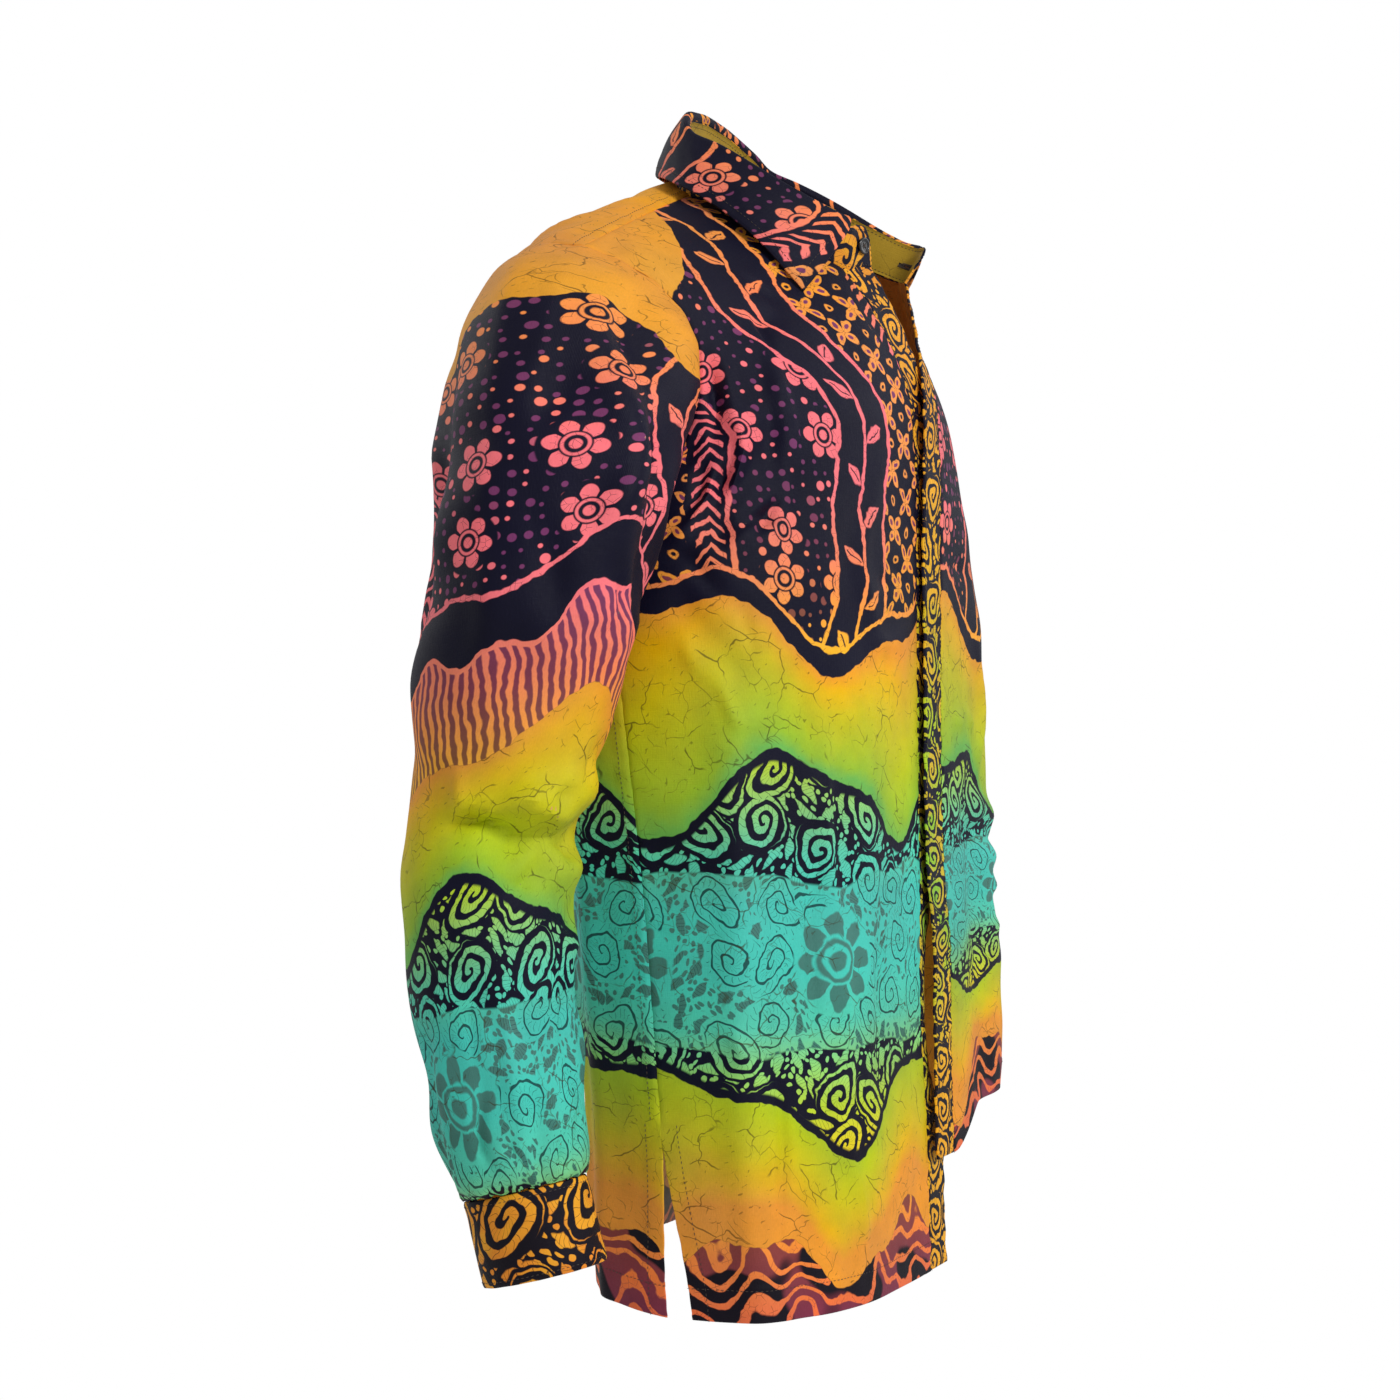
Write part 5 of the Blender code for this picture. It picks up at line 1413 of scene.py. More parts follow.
# ---------------- dyes
def dye(code):
    """A colour from its hexadecimal code, as the shaders want it."""
    parts = [int(code[k : k + 2], 16) / 255 for k in (0, 2, 4)]
    return (*[c / 12.92 if c < 0.04045 else ((c + 0.055) / 1.055) ** 2.4 for c in parts], 1.0)


# Heights on the flat print, in metres, and the dye that the wax lines and bands take there.
FIGURE_DYES = (
    (0.000, "ee6e44"), (0.040, "f48a3c"), (0.070, "f8ae2c"), (0.098, "ead026"),
    (0.125, "bcd636"), (0.150, "90d474"), (0.175, "58d2b4"), (0.205, "48d2c0"),
    (0.250, "4ad0c0"), (0.278, "5cd4b2"), (0.300, "86d284"), (0.330, "b6d63a"),
    (0.362, "dcd22a"), (0.395, "fbbb28"), (0.425, "fc9e42"), (0.455, "fb885e"),
    (0.500, "fb7880"), (0.590, "fa7880"), (0.640, "fa8856"), (0.700, "fa9a40"),
    (0.760, "fa8868"), (0.860, "fa7880"),
)
GROUND_DYES = (
    (0.000, "130c19"), (0.060, "120d19"), (0.150, "0a0c22"), (0.300, "0a0b22"),
    (0.420, "0b0a22"), (0.600, "0d0b22"), (0.860, "0f0c22"),
)
FILL_DYES = (
    (0.000, "7c3048"), (0.050, "8a4038"), (0.120, "45622e"), (0.170, "3f7a6e"),
    (0.250, "4a8078"), (0.300, "43703f"), (0.400, "8a5a2c"), (0.450, "823a4c"),
    (0.520, "743664"), (0.700, "793860"), (0.860, "743664"),
)
BAND_DYES = (
    (0.000, "efa51f"), (0.060, "f0ad1e"), (0.110, "e0c222"), (0.160, "b3cc2c"),
    (0.220, "8fc83a"), (0.300, "9ccb32"), (0.380, "c3cc24"), (0.450, "eab31c"),
    (0.560, "f0a226"), (0.760, "ee8d30"),
)
# Across a plain band, from its green edge to its gold and orange one.
PLAIN_DYES = (
    (0.00, "6db551"), (0.12, "97bd31"), (0.34, "b4c123"), (0.60, "cbbd1f"), (0.84, "e2ae22"),
    (1.00, "e99733"),
)
INSIDE_DYES = ((0.000, "d98a2c"), (0.300, "d8a02c"), (0.480, "e08c3a"), (0.900, "e68a42"))
CUFF_DYES = (
    (0.000, "ee8a2e"), (0.100, "f0a02a"), (0.300, "ee9a2a"), (0.400, "e08a2c"),
)
STAND_DYES = ((0.000, "a88a2a"), (0.320, "b3922c"), (0.345, "a5852a"), (0.400, "9a7c28"))


# The edges between the print's bands: a height, and waves with their reach, length and phase.
PRINT_EDGES = {
    "hem": (0.035, (0.017, 0.155, 3.9), (0.006, 0.062, 1.0)),
    "gold": (0.124, (0.026, 0.235, 2.1), (0.008, 0.101, 0.3)),
    "lime_low": (0.312, (0.025, 0.218, 0.2), (0.007, 0.092, 2.2)),
    "lime_top": (0.412, (0.022, 0.262, 1.2), (0.009, 0.113, 0.1)),
    "patch_low": (0.0, (0.016, 0.148, 5.1), (0.006, 0.067, 0.8)),
    "patch_end": (0.845, (0.014, 0.121, 0.0)),
}
# The scale of the noise that bends each edge of the teal wash, and the edge's height.
WASH_EDGES = ((14.0, 0.160), (11.0, 0.264))
RIPPLE_STEP = 0.0155
# Across the chest's strips: where the kawung and the vine end, and the vine's stem.
KAWUNG_END = 0.050
VINE_PLACE = 0.078
VINE_END = 0.105
CHEVRON_STRIP = 0.028
LINE_HALF = 0.0017
THREAD_STEP = 0.00062


# ---------------- arithmetic on shader sockets
class Field:
    """A value that changes over the cloth: one socket of a node tree, with arithmetic."""

    def __init__(self, tree, socket):
        self.tree = tree
        self.socket = socket

    def math(self, operation, *others):
        return compute(self.tree, operation, self, *others)

    def __add__(self, other):
        return self.math("ADD", other)

    __radd__ = __add__

    def __mul__(self, other):
        return self.math("MULTIPLY", other)

    __rmul__ = __mul__

    def __sub__(self, other):
        return self.math("SUBTRACT", other)

    def __rsub__(self, other):
        return compute(self.tree, "SUBTRACT", other, self)

    def __truediv__(self, other):
        return self.math("DIVIDE", other)

    def size(self):
        return self.math("ABSOLUTE")


def add_node(tree, kind, settings=(), **values):
    """A new node with its settings. Its sockets are fed by name, with _ for a space."""
    node = tree.nodes.new(kind)
    for name, setting in dict(settings).items():
        setattr(node, name, setting)
    for name, value in values.items():
        feed(tree, value, node.inputs[name.replace("_", " ")])
    return node


def made_of(tree, kind, output, settings=(), **values):
    """One output of a new node."""
    return Field(tree, add_node(tree, kind, settings, **values).outputs[output])


def feed(tree, item, socket):
    """Links a field to the socket, or sets the socket to a number."""
    if isinstance(item, Field):
        tree.links.new(item.socket, socket)
    else:
        socket.default_value = item


def compute(tree, operation, *items):
    node = add_node(tree, "ShaderNodeMath", {"operation": operation})
    for item, socket in zip(items, node.inputs):
        feed(tree, item, socket)
    return Field(tree, node.outputs[0])


def above(value, edge, soft=0.0004):
    """0 below the edge and 1 above it, with a narrow soft change."""
    return made_of(value.tree, "ShaderNodeMapRange", "Result",
                   {"interpolation_type": "SMOOTHSTEP"}, Value=value - edge, From_Min=-soft,
                   From_Max=soft)


def below(value, edge, soft=0.0004):
    return 1.0 - above(value, edge, soft)


def stroke(distance, half, soft=0.0004):
    """A line where the distance is small."""
    return below(distance.size(), half, soft)


def wave(value, length, phase):
    return (value * (2 * math.pi / length) + phase).math("SINE")


def share_of(value, length):
    """How far the value is through its repeat, from 0 to 1."""
    return (value / length).math("FRACT")


def either(first, *others):
    for other in others:
        first = first.math("MAXIMUM", other)
    return first


def by_hand(x, y):
    """Both coordinates with the shake of a hand that draws in wax."""
    at = place_of(x, y)
    slow, quick = noise(at, 62.0, 1.0) - 0.5, noise(at, 290.0, 0.0) - 0.5
    shake = slow * 0.0062 + quick * 0.0009
    other = noise(place_of(x + 0.5, y), 75.0, 1.0) - 0.5
    return x + shake, y + other * 0.0058 - quick * 0.0009


def place_of(x, y):
    return made_of(x.tree, "ShaderNodeCombineXYZ", "Vector", X=x, Y=y)


def parts_of(vector):
    node = add_node(vector.tree, "ShaderNodeSeparateXYZ", Vector=vector)
    return Field(vector.tree, node.outputs["X"]), Field(vector.tree, node.outputs["Y"])


def noise(vector, scale, detail=1.0, roughness=0.5, kind="2D"):
    return made_of(vector.tree, "ShaderNodeTexNoise", "Fac", {"noise_dimensions": kind},
                   Vector=vector, Scale=scale, Detail=detail, Roughness=roughness)


def cells(x, y, size, scatter):
    """Scattered places about one size apart: the way from the nearest, and two chances there."""
    tree = x.tree
    at = place_of(x / size, y / size)
    node = add_node(tree, "ShaderNodeTexVoronoi", {"voronoi_dimensions": "2D", "feature": "F1"},
                    Scale=1.0, Randomness=scatter, Vector=at)
    centre_x, centre_y = parts_of(Field(tree, node.outputs["Position"]))
    at_x, at_y = parts_of(at)
    chance = add_node(tree, "ShaderNodeSeparateColor", Color=Field(tree, node.outputs["Color"]))
    chances = [Field(tree, chance.outputs[k]) for k in ("Red", "Green")]
    return at_x - centre_x, at_y - centre_y, Field(tree, node.outputs["Distance"]), chances


def crack(x, y, size, width):
    """Fine lines between scattered cells."""
    distance = made_of(x.tree, "ShaderNodeTexVoronoi", "Distance",
                       {"voronoi_dimensions": "2D", "feature": "DISTANCE_TO_EDGE"}, Scale=1.0,
                       Vector=place_of(x / size, y / size))
    return below(distance, width / size, 0.5 * width / size)


def turned(x, y, angle):
    """Both coordinates after a turn by the angle, in radians."""
    if isinstance(angle, Field):
        c, s = angle.math("COSINE"), angle.math("SINE")
    else:
        c, s = math.cos(angle), math.sin(angle)
    return x * c + y * s, y * c - x * s


def dyed(value, dyes, high=0.9):
    """The colour at this height of the print."""
    node = value.tree.nodes.new("ShaderNodeValToRGB")
    feed(value.tree, value / high, node.inputs["Fac"])
    stops = node.color_ramp.elements
    while len(stops) < len(dyes):
        stops.new(1.0)
    for stop, (height, code) in zip(stops, dyes):
        stop.position = height / high
        stop.color = dye(code)
    return Field(value.tree, node.outputs["Color"])


def blend(mask, low, high, kind="MIX"):
    """The high colour where the mask is 1, and the low one where it is 0."""
    tree = next(item.tree for item in (mask, low, high) if isinstance(item, Field))
    node = add_node(tree, "ShaderNodeMix", {"data_type": "RGBA", "blend_type": kind})
    for item, number in ((mask, 0), (low, 6), (high, 7)):
        feed(tree, item, node.inputs[number])
    return Field(tree, node.outputs[2])


# ---------------- motifs
def leaf_shape(x, y, half_length, half_width):
    """A pointed leaf along x, with its rib left open."""
    long = 1.0 - (x / half_length).math("POWER", 2.0)
    body = above(long * half_width - y.size(), 0.0, half_width * 0.16)
    return body * above(long, 0.0, 0.05)


def spiral_shape(x, y, reach, turn, pitch):
    """A coil round the origin that narrows outwards: its body, its fine lines and its cracks."""
    radius = (x * x + y * y).math("SQRT")
    angle = y.math("ARCTAN2", x) / (2 * math.pi)
    band = (radius / pitch - angle + turn).math("FRACT") - 0.5
    inside = below(radius, reach, 0.008)
    body = above(0.31 - band.size(), radius / reach * 0.08, 0.03) * inside
    line = above(band.size(), 0.41, 0.02) * inside
    bar = (angle * 17.0 + wave(radius, 0.23, 0.0) * 0.30).math("FRACT") - 0.5
    cracks = stroke(bar, 0.035, 0.02)
    return body, line, cracks, radius


def rosette_shape(x, y, radius, petals):
    """Petals round a ring with an open middle, all within the radius."""
    far = (x * x + y * y).math("SQRT") / radius
    angle = y.math("ARCTAN2", x)
    lobe = (angle * (petals / 2)).math("COSINE").size()
    petal = below(far, 0.62 + lobe * 0.38, 0.03) * above(far, 0.52, 0.03)
    vein = above(lobe, 0.30, 0.08)
    ring = stroke(far - 0.40, 0.055, 0.03)
    return either(petal * vein, ring, below(far, 0.20, 0.03)), far


def scroll_group():
    """Scrollwork: coils, leaves and seeds between them, and rosettes in a row."""
    tree, x, y, done = pattern_group("scrollwork", ("Repeat", "Coil", "Scatter", "Rosette Height"))
    repeat, coil = done["Repeat"], done["Coil"]
    x, y = by_hand(x, y)
    bent_x = x + wave(y, 0.061, 0.4) * 0.0030
    bent_y = y + wave(x, 0.053, 1.1) * 0.0040
    dx, dy, _, (one, two) = cells(bent_x, bent_y, coil, done["Scatter"])
    hand = above(one, 0.5, 0.01) * 2.0 - 1.0
    coils, lines, cracks, radius = spiral_shape(dx * hand, dy, 0.42, two, 0.185)
    lx, ly, _, (turn, _) = cells(bent_x + 0.31, bent_y, coil * 0.36, 0.70)
    lx, ly = turned(lx, ly, turn * (2 * math.pi))
    between = above(radius, 0.47, 0.008)
    leaves = leaf_shape(lx, ly, 0.50, 0.21) * between
    _, _, near, _ = cells(bent_x + 0.77, bent_y, coil * 0.15, 0.8)
    seeds = below(near, 0.26, 0.03) * between * (1.0 - leaves)
    middle_x = ((x / repeat + 0.5).math("FRACT") - 0.5) * repeat
    flower, petal_far = rosette_shape(middle_x, y - done["Rosette Height"], 0.030, 8.0)
    clear = above(petal_far, 1.10, 0.03)
    ribs = (lx * 7.0).math("FRACT") - 0.5
    cracks = either(cracks * coils, stroke(ribs, 0.05, 0.03) * leaves) * clear
    return finish_group(tree, {
        "Mask": either(either(coils, leaves, seeds) * clear, flower),
        "Leaves": either(either(leaves, seeds) * clear, flower),
        "Lines": lines * clear,
        "Cracks": cracks,
    })


def pattern_group(name, values=()):
    """A node group with the cloth's own coordinates X and Y, in metres, and named values."""
    tree = bpy.data.node_groups.new(name, "ShaderNodeTree")
    for item in ("X", "Y", *values):
        group_socket(tree, item, "NodeSocketFloat", 0.0)
    start = tree.nodes.new("NodeGroupInput")
    fields = {item: Field(tree, start.outputs[item]) for item in ("X", "Y", *values)}
    return tree, fields["X"], fields["Y"], fields


def finish_group(tree, outputs):
    """Gives the group its named outputs, and hands the group back."""
    end = tree.nodes.new("NodeGroupOutput")
    for name in outputs:
        kind = "NodeSocketColor" if "Colour" in name else "NodeSocketFloat"
        group_socket(tree, name, kind, None, "OUTPUT")
    for name, field in outputs.items():
        tree.links.new(field.socket, end.inputs[name])
    return tree


def use_group(name, x, y, **values):
    """Places a shared group in the tree of x and y, and gives its outputs by name."""
    node = add_node(x.tree, "ShaderNodeGroup", {"node_tree": GROUPS[name]}, X=x, Y=y, **values)
    return {socket.name: Field(x.tree, socket) for socket in node.outputs}


def kawung_group():
    """Four ovals round each crossing of a slanting lattice, a seed in every oval."""
    tree, x, y, values = pattern_group("kawung", ("Cell",))
    px, py = ((way / values["Cell"]).math("FRACT") - 0.5 for way in turned(x, y, math.pi / 4))
    px, py = px.size(), py.size()

    def oval(long, wide):
        return ((long - 0.25) / 0.215).math("POWER", 2.0) + (wide / 0.125).math("POWER", 2.0)

    least = oval(px, py).math("MINIMUM", oval(py, px)).math("SQRT")
    ovals = below(least, 1.0, 0.08) * above(least, 0.42, 0.08)
    cross = below((px * px + py * py).math("SQRT"), 0.045, 0.02)
    corner = (((px - 0.5) * (px - 0.5)) + ((py - 0.5) * (py - 0.5))).math("SQRT")
    seed = below(corner, 0.12, 0.02) * above(corner, 0.055, 0.015)
    return finish_group(tree, {
        "Mask": either(ovals, cross, seed),
        "Fill": below(least, 0.50, 0.08),
    })


def dots_group():
    """Scattered dots of two sizes, with a six-petal flower here and there."""
    tree, x, y, values = pattern_group("dots", ("Flower",))
    _, _, far, (one, two) = cells(x, y, 0.0086, 0.55)
    small = below(far, 0.13 + one * one * 0.22, 0.04)
    fx, fy, _, (turn, _) = cells(x + 0.4, y, values["Flower"], 0.55)
    fx, fy = turned(fx, fy, turn * 2.0)
    flower, reach = rosette_shape(fx, fy, 0.30, 6.0)
    clear = above(reach, 1.18, 0.04)
    return finish_group(tree, {"Dots": small * clear, "Flowers": flower, "Chance": two})


def vine_group():
    """A stem along Y at X = 0, with a leaf on each side in turn."""
    tree, x, y, values = pattern_group("vine", ("Step",))
    number = y / values["Step"]
    hand = above((number * 0.5).math("FRACT"), 0.5, 0.001) * 2.0 - 1.0
    along = (number.math("FRACT") - 0.5) * values["Step"]
    lx, ly = turned(x * hand - 0.0098, along, math.radians(38.0))
    leaf = leaf_shape(lx, ly, 0.0102, 0.0042)
    rib = stroke(ly, 0.00045, 0.0003) * below(lx.size(), 0.0070)
    stem = stroke(x, 0.0015, 0.0003)
    return finish_group(tree, {"Mask": either(leaf * (1.0 - rib), stem)})


def crackle_group():
    """Where the wax broke: thin uneven lines that start and stop."""
    tree, x, y, _ = pattern_group("crackle")
    at = place_of(x, y)
    warp = noise(at, 26.0, 3.0) - 0.5
    bx, by = x + warp * 0.030, y - warp * 0.022
    lines = crack(bx, by * 1.25, 0.030, 0.00040) * above(noise(at, 31.0, 2.0), 0.52, 0.05)
    fine = crack(bx * 1.3 + 3.0, by, 0.0120, 0.00026) * above(noise(at, 44.0, 2.0), 0.57, 0.04)
    flecks = above(noise(place_of(x * 0.6 + y * 0.8, y * 2.4 - x * 1.8), 150.0, 2.0), 0.735, 0.02)
    return finish_group(tree, {"Mask": either(lines, fine * 0.75, flecks * 0.7)})


def mottle_group():
    """Uneven take-up of dye: slow clouds, and grain between the threads."""
    tree, x, y, _ = pattern_group("mottle")
    at = place_of(x, y)
    clouds = noise(at, 9.0, 3.0, 0.6) - 0.5
    grain = noise(place_of(x * 3.0, y), 420.0, 1.0) - 0.5
    level = clouds * 0.55 + (noise(at, 60.0, 2.0) - 0.5) * 0.22 + grain * 0.16 + 1.0
    return finish_group(tree, {"Level": level, "Clouds": clouds})


def cotton_group():
    """Plain weave with slubs: its height, and the slight tint of the thicker threads."""
    tree, x, y, _ = pattern_group("cotton")
    warp = noise(place_of(x * 9.0, y), 150.0, 2.0)
    weft = noise(place_of(x, y * 9.0), 150.0, 2.0)
    threads = wave(x, THREAD_STEP, 0.0) * 0.20 + wave(y, THREAD_STEP, 0.0) * 0.20
    return finish_group(tree, {"Height": warp + weft + threads,
                               "Tint": (warp + weft - 1.0) * 0.35})


GROUPS = {}


def print_group():
    """The whole dyed cloth, from the hem's ripples up to the shoulder's orange."""
    names = ("Patch", "Slope", "Start", "Stripes", "Plain", "Spread", "Seed")
    tree, x, y, v = pattern_group("batik_print", names)
    x = x + v["Seed"]
    at = place_of(x, y)
    jitter = (noise(at, 55.0, 2.0) - 0.5) * 0.0024

    def edge(name):
        height, *waves = PRINT_EDGES[name]
        total = jitter + height
        for reach, length, phase in waves:
            total = total + wave(x, length, phase) * reach
        return total

    def between(low, high, soft=0.0004):
        return above(y, low, soft) * below(y, high, soft)

    hem, gold, lime_low, lime_top, patch_low = (
        edge(name) for name in ("hem", "gold", "lime_low", "lime_top", "patch_low")
    )
    past_start = ((x - v["Seed"]).size() - v["Start"]).math("MAXIMUM", 0.0)
    patch_low = patch_low + v["Patch"] - past_start * v["Slope"]

    figure, ground, fill = (dyed(y, d) for d in (FIGURE_DYES, GROUND_DYES, FILL_DYES))
    mottle = use_group("mottle", x, y)

    # Scrollwork between the two plain bands, reversed out of a teal wash in the middle.
    scroll = use_group("scroll", x, y, Repeat=0.142, Coil=0.040, Scatter=0.60,
                       Rosette_Height=0.212)
    room = between(gold + 0.006, lime_low - 0.007, 0.0012)
    wash_low, wash_top = ((noise(at, scale, 2.0) - 0.5) * 0.030 + height
                          for scale, height in WASH_EDGES)
    wash = between(wash_low, wash_top, 0.0010) * room
    ticks = crack(x, y, 0.0043, 0.00013) * above(noise(at, 130.0, 1.0), 0.50, 0.05)
    wax = 1.0 - ticks * 0.60
    cloth = blend(scroll["Mask"] * room, ground, figure)
    washed = blend(noise(at, 60.0, 2.0) * 0.30, blend(scroll["Leaves"], figure, fill), fill)
    washed = blend(scroll["Lines"] * 0.85, washed, ground)
    cloth = blend(wash, cloth, washed)
    cloth = blend(scroll["Cracks"] * room * 0.80, cloth, ground)

    true_x, true_y = x, y
    x, y = by_hand(x, y)

    # The hem's ripples.
    ripple = y + noise(at, 20.0, 1.0) * 0.060 + wave(x, 0.034, 0.0) * 0.004
    ripples = stroke(share_of(ripple, RIPPLE_STEP) - 0.5, 0.17, 0.03)
    low = blend(above(noise(at, 16.0, 1.0), 0.50, 0.02), ground, fill)
    cloth = blend(below(y, hem), cloth, blend(ripples * wax, low, figure))

    # The chest: strips that wander up the cloth between fine lines.
    strip = x + wave(y, 0.310, 0.6) * 0.020 + wave(y, 0.127, 2.6) * 0.007
    far_side = v["Spread"] + 0.180
    strip = share_of(-0.030 - strip, far_side + CHEVRON_STRIP) * (far_side + CHEVRON_STRIP)
    kawung = use_group("kawung", x, y, Cell=0.026)
    vine = use_group("vine", strip - VINE_PLACE, y, Step=0.0262)
    dots = use_group("dots", true_x, true_y, Flower=0.052)
    in_kawung = below(strip, KAWUNG_END)
    in_vine = above(strip, KAWUNG_END + 0.005) * below(strip, VINE_END - 0.004)
    in_dots = above(strip, VINE_END + 0.001) * below(strip, far_side)
    chest = blend(kawung["Fill"] * in_kawung, ground, fill)
    gold_figure = blend(0.70, figure, dye("f0a326"))
    chest = blend(kawung["Mask"] * in_kawung * wax, chest, gold_figure)
    chest = blend(vine["Mask"] * in_vine * wax, chest, figure)
    tint = blend(above(dots["Chance"], 0.58, 0.02), fill, figure)
    chest = blend(dots["Dots"] * in_dots, chest, tint)
    chest = blend(dots["Flowers"] * in_dots * wax, chest, figure)
    past = strip - far_side
    line = either(*(stroke(way, LINE_HALF) for way in
                    (strip - (KAWUNG_END + 0.001), strip - VINE_END, past - 0.001)))
    chevron = share_of(y + (past - 0.014).size() * 0.9, 0.0092) - 0.5
    chevrons = stroke(chevron, 0.19, 0.05) * above(past, 0.0055) * below(past, 0.0235)
    chest = blend(either(line, chevrons) * wax, chest, figure)
    start = lime_top + v["Stripes"] + v["Plain"]
    chest = blend(stroke(y - start - 0.0015, LINE_HALF) * wax, chest, figure)
    fringe = between(lime_top, start)
    cloth = blend(above(y, lime_top), cloth, blend(fringe, chest, ground))

    # Slanting stripes over the sleeves' lime band.
    stripe_top = lime_top + v["Stripes"] + wave(x, 0.047, 0.0) * 0.006
    bars = share_of(x + (y - 0.4) * 0.28 + wave(y, 0.06, 0.0) * 0.001, 0.0066) - 0.5
    bars = stroke(bars, 0.24, 0.07)
    has_stripes = above(v["Stripes"], 0.01, 0.001)
    cloth = blend(between(lime_top, stripe_top) * has_stripes, cloth, blend(bars, fill, figure))
    cloth = blend(stroke(y - stripe_top, LINE_HALF) * has_stripes, cloth, figure)

    # The plain bands, and the orange at the shoulder.
    gold_band, lime_band = between(hem, gold), between(lime_low, lime_top)
    patch = between(patch_low, edge("patch_end"))
    uneven = (noise(at, 7.0, 2.0) - 0.5) * 0.28
    up_lime = (y - lime_low) / (lime_top - lime_low) + uneven
    down_gold = (gold - y) / (gold - hem) + uneven + 0.24
    for band, across in (
        (gold_band, down_gold), (lime_band, up_lime), (patch, 0.97 + uneven * 0.5)
    ):
        cloth = blend(band, cloth, dyed(across, PLAIN_DYES, 1.0))
    crackle = use_group("crackle", x, y)
    broken = either(gold_band, lime_band, patch, wash)
    cloth = blend(crackle["Mask"] * broken * 0.70, cloth, dye("3f3512"))
    tone = made_of(tree, "ShaderNodeHueSaturation", "Color", Hue=0.5, Value=mottle["Level"],
                   Saturation=1.0 + mottle["Clouds"] * 0.10, Color=cloth)
    return finish_group(tree, {"Colour": tone})


# ---------------- finishes
def new_material(name):
    material = bpy.data.materials.new(name)
    material.use_nodes = True
    return material, material.node_tree, material.node_tree.nodes["Principled BSDF"]


def add_bump(shader, height, strength, distance):
    bump = made_of(height.tree, "ShaderNodeBump", "Normal", Strength=strength,
                   Distance=distance, Height=height)
    feed(height.tree, bump, shader.inputs["Normal"])


def mottled(colour, x, y):
    """The colour with the dye's uneven take-up."""
    return blend(1.0, colour, grey_of(use_group("mottle", x, y)["Level"]), "MULTIPLY")


def cloth_material(name, roughness=0.54):
    """A new material, with its shader and the cloth's own coordinates."""
    material, tree, shader = new_material(name)
    shader.inputs["Sheen Weight"].default_value = 0.02
    shader.inputs["Sheen Roughness"].default_value = 0.35
    shader.inputs["Specular IOR Level"].default_value = 0.14
    x, y = parts_of(made_of(tree, "ShaderNodeUVMap", "UV", {"uv_map": "cut"}))
    cotton = use_group("cotton", x, y)
    feed(tree, cotton["Tint"] * 0.25 + roughness, shader.inputs["Roughness"])
    add_bump(shader, cotton["Height"], 0.30, 0.0005)
    return material, shader, x, y


def batik_skin(name, patch, seed, slope=0.0, start=0.0, stripes=0.0, plain=0.014, spread=0.0,
               fade=0.0):
    """The printed cotton. fade is how much paler the wrong side is."""
    material, shader, x, y = cloth_material(name)
    colour = use_group("print", x, y, Patch=patch, Slope=slope, Start=start, Stripes=stripes,
                       Plain=plain, Spread=spread, Seed=seed)["Colour"]
    if fade:
        colour = blend(fade, colour, dye("a79a86"))
    feed(x.tree, colour, shader.inputs["Base Color"])
    return material


def scroll_skin(name, coil, scatter, dyes):
    """Gold scrolls on navy, for the bands, cuffs, plackets and the stand."""
    material, shader, x, y = cloth_material(name)
    scroll = use_group("scroll", x, y, Repeat=1.0, Coil=coil, Scatter=scatter,
                       Rosette_Height=9.0)
    figure, ground = dyed(y, dyes), dyed(y, GROUND_DYES)
    figure = blend(above(noise(place_of(x, y), 38.0, 1.0), 0.5, 0.12) * 0.6, figure, dye("f6b22a"))
    colour = blend(scroll["Mask"] * (1.0 - scroll["Cracks"] * 0.80), ground, figure)
    feed(x.tree, mottled(colour, x, y), shader.inputs["Base Color"])
    return material


def grey_of(value):
    """The same amount in all three channels of a colour."""
    return made_of(value.tree, "ShaderNodeCombineColor", "Color", Red=value, Green=value,
                   Blue=value)


def plain_skin(name, dyes):
    """Plain dyed cotton with crackle, for the sides that the print's edge cloth gives."""
    material, shader, x, y = cloth_material(name, 0.55)
    crackle = use_group("crackle", x, y)
    colour = blend(crackle["Mask"] * 0.60, dyed(y, dyes), dye("4a3a20"))
    feed(x.tree, mottled(colour, x, y), shader.inputs["Base Color"])
    return material


def solid_finish(name, code, roughness, scale, reach, coat=0.0):
    """Buttons, thread and floor: one colour with a slight cloud in it, and a fine bump."""
    material, tree, shader = new_material(name)
    shader.inputs["Coat Weight"].default_value = coat
    cloud = noise(made_of(tree, "ShaderNodeTexCoord", "Object"), scale, 3.0, 0.55, "3D")
    light = (*[min(1.0, c * (1 + reach)) for c in dye(code)[:3]], 1.0)
    dark = (*[c * (1 - reach) for c in dye(code)[:3]], 1.0)
    feed(tree, blend(cloud, dark, light), shader.inputs["Base Color"])
    feed(tree, cloud * 0.12 + roughness, shader.inputs["Roughness"])
    add_bump(shader, cloud, 0.15, 0.0002)
    return material


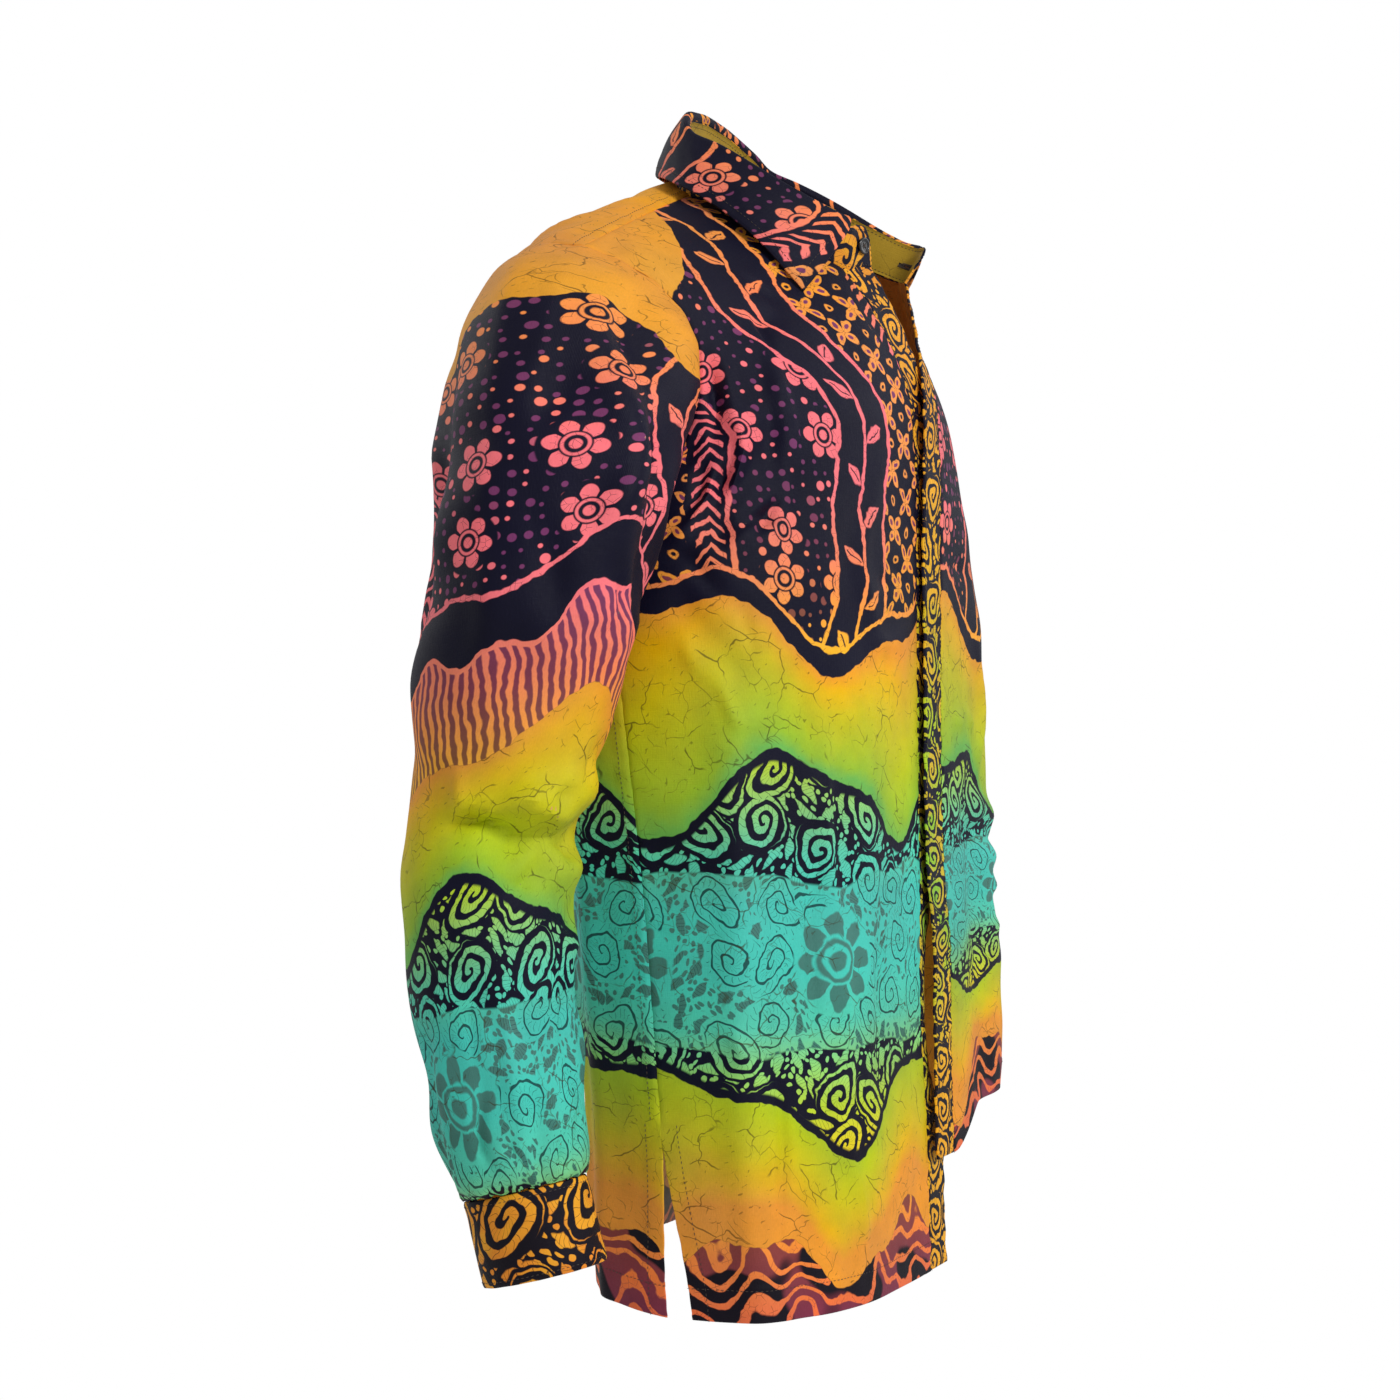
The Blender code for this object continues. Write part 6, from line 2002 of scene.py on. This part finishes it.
# ---------------- light, floor and camera
def build_studio(floor_skin):
    turns = np.arange(FLOOR_SIDES) * 2 * math.pi / FLOOR_SIDES
    ring = [(FLOOR_RADIUS * math.cos(a), FLOOR_RADIUS * math.sin(a), FLOOR_Z) for a in turns]
    floor_mesh = mesh_of("studio_floor", ring, [list(range(FLOOR_SIDES))])
    floor_mesh.materials.append(floor_skin)
    placed("studio_floor", floor_mesh)

    world = bpy.data.worlds.new("studio_air")
    world.use_nodes = True
    air = world.node_tree.nodes["Background"]
    air.inputs["Color"].default_value = (1.0, 1.0, 1.0, 1.0)
    seen = made_of(world.node_tree, "ShaderNodeLightPath", "Is Camera Ray")
    feed(world.node_tree, seen.math("MAXIMUM", AIR), air.inputs["Strength"])
    bpy.context.scene.world = world
    bpy.context.scene.view_settings.view_transform = "Standard"
    for name, place, size, power in LAMPS:
        data = bpy.data.lights.new(name, "AREA")
        data.shape = "DISK"
        data.size = size
        data.energy = power
        lamp = placed(name, data)
        lamp.location = place
        aim = Vector((0.0, 0.0, LAMP_AIM_Z)) - Vector(place)
        lamp.rotation_euler = aim.to_track_quat("-Z", "Y").to_euler()


def build_camera():
    data = bpy.data.cameras.new("front_side_camera")
    data.sensor_width = 36.0
    data.sensor_fit = "HORIZONTAL"
    data.lens = CAMERA_LENS
    data.shift_x = CAMERA_SHIFT
    data.clip_end = 50.0
    camera = placed("front_side_camera", data)
    camera.location = CAMERA_PLACE
    camera.rotation_euler = (math.radians(90.0), 0.0, math.radians(CAMERA_TURN))
    bpy.context.scene.camera = camera


# ---------------- the shirt
def main():
    for name, build in (("mottle", mottle_group), ("crackle", crackle_group),
                        ("cotton", cotton_group), ("scroll", scroll_group),
                        ("kawung", kawung_group), ("vine", vine_group), ("dots", dots_group),
                        ("print", print_group)):
        GROUPS[name] = build()
    front_skin = batik_skin("batik_front", 0.800, 0.0, slope=1.45, start=0.072)
    back_skin = batik_skin("batik_back", 0.640, 3.1)
    sleeve_skin = batik_skin("batik_sleeve", 0.676, 1.399, stripes=0.062, plain=0.034,
                             spread=0.100)
    yoke_skin = batik_skin("batik_yoke", 0.640, 0.0)
    leaf_skin = batik_skin("batik_collar", 0.800, 0.35)
    lining = batik_skin("batik_wrong_side", 0.640, 0.0, fade=0.35)
    front_lining = plain_skin("orange_inside", INSIDE_DYES)
    band_skin = scroll_skin("scroll_band", 0.036, 0.40, BAND_DYES)
    cuff_skin = scroll_skin("scroll_cuff", 0.051, 0.12, CUFF_DYES)
    stand_inside = plain_skin("olive_stand", STAND_DYES)
    thread = solid_finish("thread", "4a3f38", 0.75, 900.0, 0.25)
    button_plastic = solid_finish("dark_button", "17171c", 0.22, 300.0, 0.30, 0.4)
    floor_skin = solid_finish("studio_floor", "e9e9e6", 0.85, 1.5, 0.015)

    front_paths = front_panel(False, (front_skin, lining))
    front_paths += front_panel(True, (front_skin, front_lining))
    back_paths = back_panel((back_skin, lining))
    yoke_paths = yoke_panel((yoke_skin, lining))
    band_paths = band_panel(False, (band_skin, lining))
    band_paths += band_panel(True, (band_skin, front_lining))
    placket_paths = sleeve_panels((sleeve_skin, lining), cuff_skin)
    cuff_paths = cuff_panels(cuff_skin)
    collar_paths, slot_paths = collar_panels((cuff_skin, stand_inside), leaf_skin)
    for node in BUTTONS:
        build_button(node, button_plastic, thread)

    tree = stitch_tree()
    for name, paths, slot_name in (
        ("front_stitches", front_paths, "cloth_front_right"),
        ("back_stitches", back_paths, "cloth_back"),
        ("yoke_stitches", yoke_paths, "cloth_yoke"),
        ("band_stitches", band_paths, "cloth_band_left"),
        ("cuff_stitches", cuff_paths, "cloth_cuff_right"),
        ("placket_stitches", placket_paths, "cloth_placket_right"),
        ("collar_stitches", collar_paths, "cloth_leaf"),
    ):
        stitched(name, tree, paths, thread, slot_name)
    stitched("buttonhole_stitches", tree, slot_paths, thread, "cloth_stand", Pitch=0.00055,
             Length=0.0024, Turn=math.pi / 2)
    build_studio(floor_skin)
    build_camera()


main()
